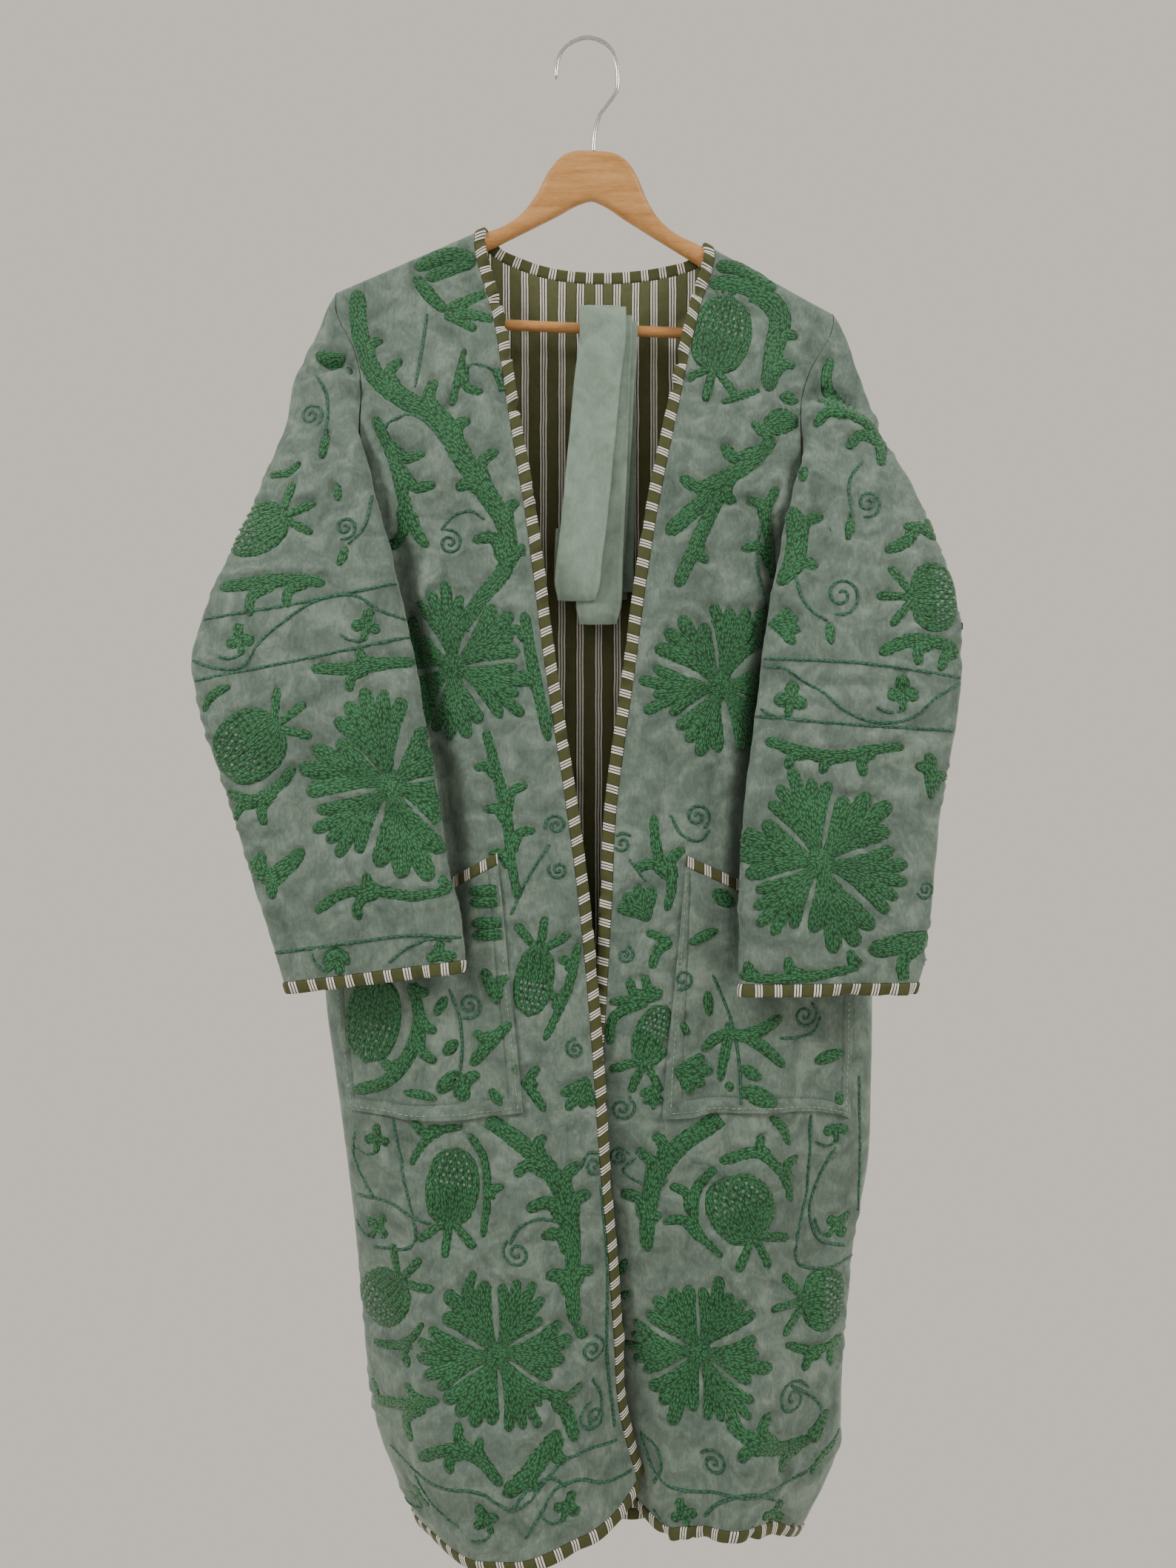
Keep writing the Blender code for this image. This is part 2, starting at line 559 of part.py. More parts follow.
def sleeve_section(side, section, armhole):
    """One section of a sleeve: from the front of the armhole, or the underarm seam, round to the back."""
    sign = -1 if side == "left" else 1
    reach = ease((section - 3) / 1.5) if armhole is not None else 1.0
    away = np.array([sign * (0.5 + reach), 0, 0])
    table = SLEEVES[side]
    row = {name: table.at(section, name) for name in table.names}
    inner = np.array([row["x_in"], row["depth_in"], -row["drop_in"]])
    outer = np.array([row["x_out"], row["depth_out"], -row["drop_out"]])
    underarm = armhole_drops(side)[-1]

    width = abs(outer[0] - inner[0])

    def swollen(part):
        near = min(part, 1 - part) * width
        return 0.5 * side_curve(near / FOLD_ROUNDING) + 0.5 * math.sqrt(4 * part * (1 - part))

    def layer(parts, swell, start, end):
        return [start + (end - start) * s + np.array([0, swell * swollen(s), 0]) for s in parts]

    if armhole is not None:
        begin = armhole_point(side, armhole, "front") + away
        finish = armhole_point(side, armhole, "back") + away
        if armhole == underarm:
            begin[0] -= sign * SEAM_GAP
            finish[0] += sign * SEAM_GAP
        lip = []
        over = ease((sign * (begin[0] - inner[0]) - 4) / 14)
        for part in (0.25 - 0.25 * over, 0.5 - 0.1 * over, 0.78):
            spot = begin + (inner - begin) * part
            beside = spot[0] - sign * LIP_CLEARANCE
            clear = min(spot[1], front_face(side, beside, armhole) - LIP_CLEARANCE)
            spot[1] += (clear - spot[1]) * over
            lip.append(spot)
    else:
        part = min((row["armhole"] - underarm) / 60, 1.0)
        share = SEAM_SETBACK.at(section, "setback") / width
        seam = layer([share], row["back"], inner, outer)[0]
        join = armhole_point(side, underarm, "front") + away
        seam = join + (seam - join) * np.array([ease(part), ease(2.2 * part), 1])
        way = (outer - inner) / np.linalg.norm(outer - inner)
        begin = seam - way * SEAM_GAP
        finish = seam + way * SEAM_GAP
        lip = layer([share * 0.75, 0.055, 0.016], row["back"], inner, outer)
    front = layer((0.016, 0.055, 0.2, 0.4, 0.6, 0.8, 0.945, 0.984), -row["front"], inner, outer)
    back = layer((0.016, 0.055, 0.25, 0.55, 0.85), row["back"], outer, finish)
    folded = np.array([begin] + lip + [inner] + front + [outer] + back + [finish])
    if reach == 1.0:
        return folded
    middle = (begin + finish) / 2
    round_way = [middle + (begin - middle) * math.cos(turn) + (outer - middle) * math.sin(turn)
                 for turn in np.linspace(0, math.pi, 25)]
    plain = even_out(round_way, SLEEVE_POINTS)
    return plain + (folded - plain) * reach


def sleeve_crown(side):
    """The first section: over the end of the shoulder, beside the edges of front and back."""
    sign = -1 if side == "left" else 1
    away = np.array([sign * 0.5, 0, 0])
    top = ridge_drop(OUTER[side].rows[0, 1])
    steps = (9.2, 6.5, 4.6, 2.0, 0.5, 0)
    front = [armhole_point(side, top + step, "front") + away for step in steps]
    back = [armhole_point(side, top + step, "back") + away for step in reversed(steps)]
    return even_out(front[:-1] + [(front[-1] + back[0]) / 2] + back[1:], SLEEVE_POINTS)


def sleeve_grid(side):
    table = SLEEVES[side]
    rows = [sleeve_crown(side)]
    seams = armhole_drops(side)
    for drop in seams:
        section = np.interp(drop, table.rows[:, table.names.index("armhole")], table.rows[:, 0])
        rows.append(sleeve_section(side, section, drop))
    rows += [sleeve_section(side, section, None) for section in LOW_SECTIONS]
    points = np.array(rows)
    normals = grid_normals(points, 1 if side == "left" else -1)
    for c in range(SLEEVE_POINTS):
        lean = min(max(points[0, c, 1] / RIDGE_RADIUS, -1.0), 1.0)
        normals[0, c] = (0, lean, math.sqrt(1 - lean ** 2))
    for r in range(1, len(points)):
        if r >= len(seams):
            normals[r, 0] = normals[r, -1] = (normals[r, 0] + normals[r, -1]) / 2
            continue
        for column in (0, -1):
            if normals[r, column, 0] * (1 if side == "left" else -1) < 0:
                normals[r, column, 0] = 0
    normals /= np.linalg.norm(normals, axis=2, keepdims=True)
    return points, normals


def build_cloth(materials):
    """The fronts, back, lining and sleeves, with their bindings and pockets."""
    velvet, striped, lining = materials["velvet"], materials["striped"], materials["lining"]
    for side in ("left", "right"):
        points, normals = front_grid(side)
        wall("front_" + side, points, normals, 0, -CLOTH, velvet)
        across = points[:, -1] - points[:, -2]
        across /= np.linalg.norm(across, axis=1, keepdims=True)
        strip("binding_" + side, points[:, -1], across, normals[:, -1], striped)
        down = points[-1] - points[-2]
        down /= np.linalg.norm(down, axis=1, keepdims=True)
        strip("hem_binding_" + side, points[-1], down, normals[-1], striped)

        points, normals = sleeve_grid(side)
        wall("sleeve_" + side, points, normals, 0, -CLOTH, velvet, rising=True)
        down = points[-1] - points[-2]
        down /= np.linalg.norm(down, axis=1, keepdims=True)
        strip("cuff_binding_" + side, points[-1], down, normals[-1], striped)

    points, normals = back_grid()
    wall("back", points, normals, 0, -VELVET, velvet)
    wall("lining_back", points, normals, -VELVET - SEAM_GAP, -CLOTH, lining)
    down = points[-1] - points[-2]
    down /= np.linalg.norm(down, axis=1, keepdims=True)
    strip("hem_binding_back", points[-1], down, normals[-1], striped)
    neck = slice(BACK_SHOULDER_CELLS, BACK_SHOULDER_CELLS + len(NECKLINE.rows))
    border, facing = points[0, neck], normals[0, neck]
    along = np.gradient(border, axis=0)
    up = np.cross(along, facing)
    up /= np.linalg.norm(up, axis=1, keepdims=True)
    for i, place in enumerate(border):
        inward = 1 if place[0] < 0 else -1
        slope = (ridge_drop(place[0] + 2) - ridge_drop(place[0] - 2)) / 4
        arm = np.array([inward, 0, -inward * slope]) / math.hypot(1, slope)
        up[i] = arm + (up[i] - arm) * ease((place[1] - 8) / 3)
    up /= np.linalg.norm(up, axis=1, keepdims=True)
    strip("binding_neck", border, up, facing, striped)


def pocket_grid(side):
    """The rows and columns of a pocket, on its front's outer face."""
    size = POCKETS[side]
    inner = size["inner_top"]
    columns = [size["outer"]] + [a for a in FRONT_ACROSS if size["outer"] + 0.01 < a < inner - 0.01]
    columns.append(inner)
    front, _ = front_grid(side)
    drops = -front[:, 0, 2]
    rows = []
    for part in np.linspace(0, 1, POCKET_ROWS):
        row = []
        for place in columns:
            share = (inner - place) / (inner - size["outer"])
            start = np.interp(share, (0, 1), size["top"]) + BINDING_WIDTH
            drop = start + (np.interp(share, (0, 1), size["low"]) - start) * part
            lean = (size["inner_low"] - inner) * part if place == inner else 0
            line = [[np.interp(place + lean, FRONT_ACROSS, front[r, :, k]) for k in range(3)]
                    for r in range(len(front))]
            row.append([np.interp(drop, drops, [spot[k] for spot in line]) for k in range(3)])
        rows.append(row)
    points = np.array(rows)
    return points, grid_normals(points, 1 if side == "right" else -1)


def build_pockets(materials):
    for side in ("left", "right"):
        points, normals = pocket_grid(side)
        far = POCKET_LIFT + POCKET_THICK
        wall("pocket_" + side, points, normals, far, POCKET_LIFT, materials["velvet"])
        up = points[0] - points[1]
        up /= np.linalg.norm(up, axis=1, keepdims=True)
        strip("pocket_binding_" + side, points[0], up, normals[0], materials["striped"],
              width=BINDING_WIDTH - 1, thick=3.0, depth=POCKET_LIFT + 1.6)


def wood_outline():
    """The hanger's outline, once round, as places out and down."""
    half = [tuple(row) for row in WOOD_TOP.rows[1:-1]] + WOOD_TIP + WOOD_UNDER
    left = [(-out, down) for out, down in reversed(half)]
    return [tuple(WOOD_TOP.rows[0])] + half + [WOOD_APEX] + left


def build_hanger(materials):
    outline = [Vector((out, -down)) for out, down in wood_outline()]
    count = len(outline)
    insets = []
    for i in range(count):
        before = (outline[i] - outline[i - 1]).normalized()
        after = (outline[(i + 1) % count] - outline[i]).normalized()
        way = (before + after).normalized()
        inward = Vector((way.y, -way.x))
        insets.append(inward / max(inward.dot(Vector((before.y, -before.x))), 0.6))
    bm = bmesh.new()
    rings = []
    half = ARM_THICK / 2
    for turn in (-90, -60, -30, 0, 30, 60, 90):
        inset = half * (1 - math.cos(math.radians(turn)))
        depth = half * math.sin(math.radians(turn))
        ring = []
        for place, way in zip(outline, insets):
            spot = place + way * inset
            ring.append(bm.verts.new(hanger_place(spot.x, -spot.y, depth)))
        rings.append(ring)
    bridge_rings(bm, rings)
    bmesh.ops.triangulate(bm, faces=bm.faces)
    add_object("hanger_wood", bm, materials["wood"])

    bm = bmesh.new()
    rings = []
    for out in (-BAR_REACH, -BAR_REACH / 3, BAR_REACH / 3, BAR_REACH):
        ring = []
        for i in range(12):
            turn = math.tau * i / 12
            ring.append(bm.verts.new(hanger_place(out, BAR_DOWN + BAR_RADIUS * math.cos(turn),
                                                  BAR_RADIUS * math.sin(turn))))
        rings.append(ring)
    bridge_rings(bm, rings)
    bmesh.ops.triangulate(bm, faces=bm.faces)
    add_object("hanger_bar", bm, materials["wood"])

    route = [(x, 0, z) for x, z in HOOK_ROUTE]
    route.append((HANGER_TOP.x, 0, HANGER_TOP.z + SEAM_GAP))
    wire = even_out(route, 34)
    ways = np.gradient(wire, axis=0)
    ways /= np.linalg.norm(ways, axis=1, keepdims=True)
    bm = bmesh.new()
    rings = []
    for place, way in zip(wire, ways):
        side = np.array([-way[2], 0, way[0]])
        ring = []
        for i in range(8):
            turn = math.tau * i / 8
            ring.append(bm.verts.new(place + WIRE_RADIUS * (side * math.cos(turn)
                                                           + np.array([0, 1, 0]) * math.sin(turn))))
        rings.append(ring)
    bridge_rings(bm, rings)
    bmesh.ops.triangulate(bm, faces=bm.faces)
    add_object("hanger_hook", bm, materials["steel"])


def belt_loop(reach, rise, middle, bar_drop):
    """Half a turn over the bar, from the front to the back."""
    return [(middle, -reach * math.cos(turn), -bar_drop + rise * math.sin(turn))
            for turn in np.linspace(0, math.pi, 11)]


def ribbon(name, route, bar_drop, material):
    """A flat band of cloth along a route, as wide as the belt, level with the tilted bar on it."""
    route = np.array(route, dtype=float)
    ways = np.gradient(route, axis=0) * np.array([0, 1, 1])
    ways /= np.linalg.norm(ways, axis=1, keepdims=True)
    bm = bmesh.new()
    rings = []
    shape = ((-0.5, -0.3), (-0.47, 0.5), (0.47, 0.5), (0.5, -0.3), (0.47, -0.5), (-0.47, -0.5))
    for place, way in zip(route, ways):
        tilt = HANGER_TILT * (1 - ease((-place[2] - bar_drop - 10) / 50))
        wide = np.array([math.cos(tilt), 0, -math.sin(tilt)])
        face = np.cross(way, wide)
        rings.append([bm.verts.new(place + wide * BELT_WIDTH * u + face * BELT_THICK * v) for u, v in shape])
    bridge_rings(bm, rings)
    bmesh.ops.triangulate(bm, faces=bm.faces)
    return add_object(name, bm, material)


def leg(x_top, x_low, depth, drop_top, drop_low, count=5):
    """A hanging part of the belt, top to bottom."""
    return [(x_top + (x_low - x_top) * f, depth, -(drop_top + (drop_low - drop_top) * f))
            for f in np.linspace(0, 1, count)]


def build_belt(materials):
    bar_drop = -hanger_place(14, BAR_DOWN).z
    inner_reach, middle_reach, turn_low = 6.6, 10.2, 508.0
    route = leg(25, 22, inner_reach, bar_drop, 480)[::-1]
    route = route[:-1] + belt_loop(inner_reach, inner_reach, 25, bar_drop)[::-1]
    route += leg(25, 11, -inner_reach, bar_drop, turn_low)[1:]
    half = (middle_reach - inner_reach) / 2
    for turn in np.linspace(0, math.pi, 6)[1:]:
        route.append((11, -inner_reach - half * (1 - math.cos(turn)), -turn_low - half * math.sin(turn)))
    route += leg(20, 11, -middle_reach, bar_drop, turn_low)[::-1][1:]
    route += belt_loop(middle_reach, 12.5, 20, bar_drop)[1:]
    route += leg(20, 16, middle_reach, bar_drop, 486)[1:]
    ribbon("belt_behind", route, bar_drop, materials["belt"])

    front_reach, tail_reach, back_reach, low = 17.4, 13.8, 13.6, 488.0
    route = leg(15, 12, back_reach, bar_drop, 470)[::-1]
    loop = [(15, (back_reach - front_reach) / 2 - (back_reach + front_reach) / 2 * math.cos(turn),
             -bar_drop + 18.5 * math.sin(turn)) for turn in np.linspace(0, math.pi, 13)]
    route = route[:-1] + loop[::-1]
    route += leg(15, -8, -front_reach, bar_drop, low)[1:]
    half = (front_reach - tail_reach) / 2
    for turn in np.linspace(0, math.pi, 6)[1:]:
        route.append((-8, -front_reach + half * (1 - math.cos(turn)), -low - half * math.sin(turn)))
    route += leg(-6, -8, -tail_reach, low - 60, low, count=4)[::-1][1:]
    ribbon("belt_front", route, bar_drop, materials["belt"])


def main():
    clear_scene()
    materials = {
        "velvet": paint("embroidered velvet", "#6f8f80", 0.85),
        "lining": paint("striped lining cotton", "#6d7058", 0.8),
        "striped": paint("striped binding cotton", "#55583c", 0.75),
        "belt": paint("plain velvet", "#8fa396", 0.85),
        "wood": paint("lacquered beech", "#c49462", 0.4),
        "steel": paint("chromed steel wire", "#c9c9c6", 0.2, 1.0),
    }
    build_hanger(materials)
    build_cloth(materials)
    build_pockets(materials)
    build_belt(materials)


main()
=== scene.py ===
# %% [markdown]
# # A velvet chapan on a wooden hanger
# A chapan is the long open robe of Central Asia. This one is sage velvet with chain stitch in green
# silk, bound with striped cotton and hung on a wooden hanger. Most of its look is cloth: where it
# falls, where it creases, and how the raised stitches lie on it. So the script builds the drape
# first, then sews on the edges, pockets and belt, then embroiders, and paints last.

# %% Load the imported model
import math

import bmesh
import bpy
import numpy as np
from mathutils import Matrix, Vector, noise
from mathutils.bvhtree import BVHTree
from mathutils.kdtree import KDTree


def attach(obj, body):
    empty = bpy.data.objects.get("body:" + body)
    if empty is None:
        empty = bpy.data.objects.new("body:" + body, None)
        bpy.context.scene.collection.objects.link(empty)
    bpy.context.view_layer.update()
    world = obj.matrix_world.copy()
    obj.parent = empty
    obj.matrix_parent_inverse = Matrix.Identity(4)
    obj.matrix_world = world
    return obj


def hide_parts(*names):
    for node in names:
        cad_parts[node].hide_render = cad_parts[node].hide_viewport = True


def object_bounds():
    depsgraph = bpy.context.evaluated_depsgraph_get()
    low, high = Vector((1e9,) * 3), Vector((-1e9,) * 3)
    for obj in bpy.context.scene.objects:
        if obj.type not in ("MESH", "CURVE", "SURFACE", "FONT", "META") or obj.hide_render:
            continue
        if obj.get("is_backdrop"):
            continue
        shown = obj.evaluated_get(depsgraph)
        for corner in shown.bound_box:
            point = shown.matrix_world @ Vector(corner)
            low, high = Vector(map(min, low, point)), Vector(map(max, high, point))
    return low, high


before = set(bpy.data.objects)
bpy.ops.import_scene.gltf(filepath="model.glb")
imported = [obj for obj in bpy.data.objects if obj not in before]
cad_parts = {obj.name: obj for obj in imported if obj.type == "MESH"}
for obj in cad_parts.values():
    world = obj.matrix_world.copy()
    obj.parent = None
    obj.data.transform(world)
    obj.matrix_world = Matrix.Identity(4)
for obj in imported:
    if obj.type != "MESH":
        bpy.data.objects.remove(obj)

MM = 0.001

# The photograph is 1588 by 2117 pixels, and its camera stands 1.25 m in front of the hanger
PICTURE = (1588, 2117)
FOCAL_PIXELS = 1937.5
EYE = (0.0019, -1.25, -0.648)
FRONT_DEPTH = -45.0
solid_low, solid_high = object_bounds()
print("solids from", tuple(round(v, 3) for v in solid_low), "to", tuple(round(v, 3) for v in solid_high))

# %% [markdown]
# ## The sizes of the cloth
# Tables here are in millimetres. A drop is the distance below the inside of the hook's bend, and a
# depth is the place along Y, away from the viewer. Left is the side at -X, which a viewer sees on
# the left. The numbers are those of the solids, so each finished piece lies where its solid is.

# %% Sizes of cloth, belt and hanger
SEAM_GAP = 0.3
VELVET = 1.5
LINING = 0.9
CLOTH = VELVET + SEAM_GAP + LINING
BINDING_WIDTH = 10.6
BINDING_THICK = 4.4
BELT_WIDTH = 40.0
BELT_THICK = 2.6
POCKET_THICK = 1.8
POCKET_LIFT = 0.8
ARM_THICK = 12.0
SEAT_GAP = 0.3
RIDGE_RADIUS = ARM_THICK / 2 + SEAT_GAP + CLOTH
BAR_RADIUS = 4.7
WIRE_RADIUS = 1.9
HANGER_TILT = math.radians(2.7)
HANGER_TOP = Vector((7.0, 0.0, -97.0))
SIDE_SEAM_DEPTH = 3.15
LIP_CLEARANCE = 5.0
BACK_DEPTH = 24.0
ARMHOLE_ROUNDING = 15.0
SHOULDER_FALL = 110.0
NECK_FALL = 60.0
BACK_ROUNDING = 70.0
FRONT_ROUNDING = 32.0
UNDERARM = {"left": 454.0, "right": 468.0}
SIGN = {"left": -1, "right": 1}  # the way out from the robe's middle, along X
print("the cloth is", CLOTH, "mm thick with its lining")

# %% A table that reads as a smooth curve
def level_slope(before, after):
    """The slope at a row, level where the curve turns, so that it never overshoots."""
    if before * after <= 0:
        return 0.0
    return 2 * before * after / (before + after)


class Table:
    """A short table with named columns, read as a smooth curve over its first column."""

    def __init__(self, names, rows):
        self.names = names.split()
        self.rows = np.array(rows, dtype=float)

    def at(self, key, name):
        keys = self.rows[:, 0]
        values = self.rows[:, self.names.index(name)]
        key = min(max(key, keys[0]), keys[-1])
        i = int(min(np.searchsorted(keys, key, side="right") - 1, len(keys) - 2))
        span = keys[i + 1] - keys[i]
        rises = np.diff(values) / np.diff(keys)
        before = level_slope(rises[i - 1], rises[i]) if i > 0 else rises[i]
        after = level_slope(rises[i], rises[i + 1]) if i + 2 < len(keys) else rises[i]
        f = (key - keys[i]) / span
        hermite = (2 * f ** 3 - 3 * f ** 2 + 1) * values[i] + (3 * f ** 2 - 2 * f ** 3) * values[i + 1]
        return hermite + span * ((f ** 3 - 2 * f ** 2 + f) * before + (f ** 3 - f ** 2) * after)


print("halfway up a smooth step:", Table("key value", [(0, 0), (1, 1)]).at(0.5, "value"))

# %% The borders, swell and folds of the fronts and the back
OUTER = {
    "left": Table("drop x depth", [
        (226, -216, -9), (236, -216, -11), (264, -203, -15), (303, -193, -20), (357, -193, -22),
        (413, -203, -15), (454, -222, 2.85), (610, -226, 2.85), (829, -227, 2.85),
        (916, -216, 2.85), (1011, -204, 2.85), (1121, -193, 2.85), (1192, -186, 2.85),
        (1228, -174, 2.85), (1289, -147, 2.85)]),
    "right": Table("drop x depth", [
        (237, 214, -9), (251, 214, -11), (277, 200, -15), (319, 185, -20), (370, 184, -22),
        (426, 196, -15), (468, 218, 2.85), (610, 239, 2.85), (840, 250, 2.85), (985, 246, 2.85),
        (1039, 235, 2.85), (1102, 227, 2.85), (1231, 219, 2.85), (1267, 204, 2.85),
        (1303, 184, 2.85)]),
}
EDGE = {
    "left": Table("drop x depth", [
        (167, -91, -9), (180, -91, -10), (204, -86, -13), (248, -74, -20), (341, -59, -28), (432, -44, -36),
        (549, -29, -42), (674, -10, -46), (760, 1, -50), (847, 9, -54), (976, 18, -56),
        (1081, 27, -50), (1182, 34, -42), (1212, 42, -38), (1249, 52, -32)]),
    "right": Table("drop x depth", [
        (177, 106, -9), (194, 106, -10), (216, 99, -13), (266, 86, -20), (329, 73, -26), (397, 59, -32),
        (461, 48, -36), (568, 34, -40), (674, 20, -42), (761, 16, -44), (910, 9, -42),
        (986, 11, -37), (1081, 18, -28), (1178, 28, -18), (1272, 37, -10)]),
}
HEM = {
    "left": Table("across drop", [
        (0, 1289), (0.15, 1288), (0.3, 1292), (0.45, 1291), (0.6, 1284), (0.75, 1277),
        (0.88, 1268), (1, 1249)]),
    "right": Table("across drop", [
        (0, 1303), (0.1, 1290), (0.25, 1277), (0.5, 1272), (0.8, 1282), (1, 1272)]),
}
SWELL = Table("drop left right", [
    (230, 0, 0), (350, 5, 5), (600, 12, 12), (900, 20, 20), (1050, 30, 28), (1200, 56, 48),
    (1290, 68, 56)])
FOLD = "top_across low_across from_drop to_drop width height"
FRONT_FOLDS = {
    "left": Table(FOLD, [
        (0.30, 0.24, 880, 1400, 0.07, 7), (0.52, 0.47, 620, 1400, 0.08, -6),
        (0.74, 0.70, 900, 1400, 0.06, 6), (0.62, 0.80, 1080, 1400, 0.07, -11),
        (0.40, 0.55, 230, 620, 0.08, 4), (0.78, 0.62, 240, 560, 0.07, -4)]),
    "right": Table(FOLD, [
        (0.24, 0.20, 860, 1400, 0.07, -6), (0.40, 0.44, 640, 1400, 0.08, 7),
        (0.66, 0.70, 700, 1400, 0.07, -7), (0.86, 0.86, 980, 1400, 0.05, 6),
        (0.36, 0.52, 240, 640, 0.08, 4), (0.70, 0.62, 250, 600, 0.07, -4)]),
}
BACK_FOLDS = Table(FOLD, [
    (0.20, 0.16, 420, 1400, 0.05, -6), (0.36, 0.38, 600, 1400, 0.05, -5),
    (0.52, 0.55, 340, 1400, 0.05, -7), (0.68, 0.66, 640, 1400, 0.05, -5),
    (0.82, 0.86, 480, 1400, 0.05, -6)])
NECKLINE = Table("x depth drop", [
    (-96.4, 0.15, 0), (-95.2, 3.8, 0), (-93.2, 7, 0), (-89.5, 9.2, 177), (-81, 11.8, 186),
    (-62, 14, 195), (-34, 15.9, 203.5), (0, 17, 207.5), (40, 16.4, 207), (72, 14.6, 203),
    (95, 12, 197), (104.7, 9.2, 191), (108.4, 7, 0), (110.4, 3.8, 0), (111.6, 0.15, 0)])
BACK_OUTER = {
    "left": Table("drop x depth", [
        (226, -216, 9), (236, -216, 10), (270, -208, 12), (330, -205, 15), (400, -209, 12), (454, -222, 3)]),
    "right": Table("drop x depth", [
        (237, 214, 9), (251, 214, 10), (282, 204, 12), (342, 199, 15), (414, 203, 12), (468, 218, 3)]),
}
print("the left front hangs down to", round(HEM["left"].at(0.5, "drop")), "mm")

# %% The hanger's outline and the sections of the sleeves
WOOD_TOP = Table("out down", [
    (0, 0), (14, 0.4), (24, 3.5), (31, 9), (37, 17), (50, 43), (60, 57), (74, 68), (94, 77),
    (125, 92.2), (155, 106.9), (185, 121.6), (240, 148.5)])
WOOD_TIP = [(202, 131.4), (209, 137.5), (212, 146), (208, 158), (198, 166), (186, 166), (178, 160)]
WOOD_UNDER = [(178, 144), (150, 125), (120, 108.5), (90, 92), (60, 75.5), (30, 58.7), (8, 46)]
WOOD_APEX = (0, 43.5)
BAR_DOWN = 154.5
BAR_REACH = 177.6
HOOK_ROUTE = [
    (-26, -34), (-25.5, -24), (-22.5, -13), (-15, -4.2), (-5.5, 0.9), (4, 1.9), (14, -1.2),
    (22, -8.5), (26.5, -20), (28, -34), (26.2, -46), (19, -56.5), (12.3, -66), (8.4, -78), (7, -90)]
SLEEVE = "section armhole x_in drop_in depth_in x_out drop_out depth_out front back"
SLEEVES = {
    "left": Table(SLEEVE, [
        (1, 240, -212, 240, -13, -226, 238, -1, 4, 3),
        (2, 270, -202, 270, -18, -237, 266, -3, 6, 5),
        (3, 300, -194, 300, -23, -252, 298, -7, 6, 7),
        (4, 336, -191, 336, -31, -261, 337, -10, 7, 8),
        (5, 373, -185, 373, -38, -271, 371, -13, 12, 9),
        (6, 411, -177, 404, -42, -282, 400, -16, 13, 9),
        (7, 454, -163, 454, -48, -304, 451, -22, 14, 9),
        (8, 500, -151, 505, -52, -325, 502, -28, 15, 9),
        (9, 546, -141, 550, -55, -334, 546, -32, 15, 9),
        (10, 590, -134, 592, -58, -325, 590, -36, 15, 9),
        (11, 650, -123, 651, -61, -304, 651, -42, 14, 9),
        (12, 708, -115, 708, -64, -285, 708, -48, 13, 9),
        (13, 756, -104, 752, -67, -267, 762, -53, 11, 8),
        (14, 800, -99, 792, -69, -251, 812, -58, 8, 7)]),
    "right": Table(SLEEVE, [
        (1, 259, 210, 259, -13, 224, 254, -1, 4, 3),
        (2, 288, 199, 288, -18, 233, 284, -4, 6, 5),
        (3, 317, 188, 317, -23, 243, 314, -8, 6, 7),
        (4, 353, 183, 353, -31, 260, 351, -11, 7, 8),
        (5, 389, 178, 388, -38, 277, 385, -15, 12, 9),
        (6, 426, 170, 422, -43, 291, 418, -20, 13, 9),
        (7, 468, 160, 468, -48, 308, 464, -26, 14, 9),
        (8, 515, 150, 518, -52, 318, 514, -31, 15, 9),
        (9, 566, 144, 568, -56, 317, 566, -35, 15, 9),
        (10, 618, 137, 620, -59, 309, 618, -39, 15, 9),
        (11, 676, 130, 678, -62, 297, 674, -45, 14, 9),
        (12, 730, 127, 732, -66, 291, 730, -50, 13, 9),
        (13, 776, 126, 778, -68, 285, 778, -55, 11, 8),
        (14, 812, 126, 812, -69, 277, 812, -58, 8, 7)]),
}
SEAM_SETBACK = Table("section setback", [(7, 60), (8, 46), (9, 38), (11, 30), (14, 24)])
POCKETS = {
    "left": dict(outer=0.055, inner_top=0.72, inner_low=0.735, top=(729, 770), low=(940, 928)),
    "right": dict(outer=0.10, inner_top=0.735, inner_low=0.79, top=(739, 798), low=(957, 943)),
}
TOP_STEPS = (0.0, 0.5, 2.0, 4.6, 9.2, 20.0)
FRONT_ACROSS = (0, 0.015, 0.055, 0.12, 0.21, 0.31, 0.41, 0.51, 0.61, 0.72, 0.82, 0.91, 1)
ARMHOLE_SHARES = (0, 0.14, 0.28, 0.45, 0.62, 0.8, 0.91, 1)
ROWS_BELOW = 13
RIDGE_STEP = 9.2
BACK_SHOULDER_CELLS = 2
LOW_SECTIONS = (7.4, 8, 9, 10, 11, 12, 13, 14)
POCKET_ROWS = 8
SLEEVE_POINTS = 20
FOLD_ROUNDING = 9.0
print("a sleeve has", len(SLEEVES["left"].rows), "sections")

# %% [markdown]
# ## How the cloth falls
# Cloth over a hanger's arm bends round a small radius, then falls almost straight. Each panel is a
# net of places: its rows run across the cloth and its columns run down it. A draping simulation
# could find such a shape, but it would never settle in the same place as the photograph, so the
# shoulder line, borders, hem and largest folds are steered by the short tables above.

# %% Over the arm of the hanger
def ease(value):
    """Rise smoothly from 0 to 1."""
    value = min(max(value, 0.0), 1.0)
    return value * value * (3 - 2 * value)


def hanger_place(out, down, depth=0.0):
    """A place on the tilted hanger, from its own two measures."""
    turn, rise = math.cos(HANGER_TILT), math.sin(HANGER_TILT)
    return HANGER_TOP + Vector((out * turn - down * rise, depth, -out * rise - down * turn))


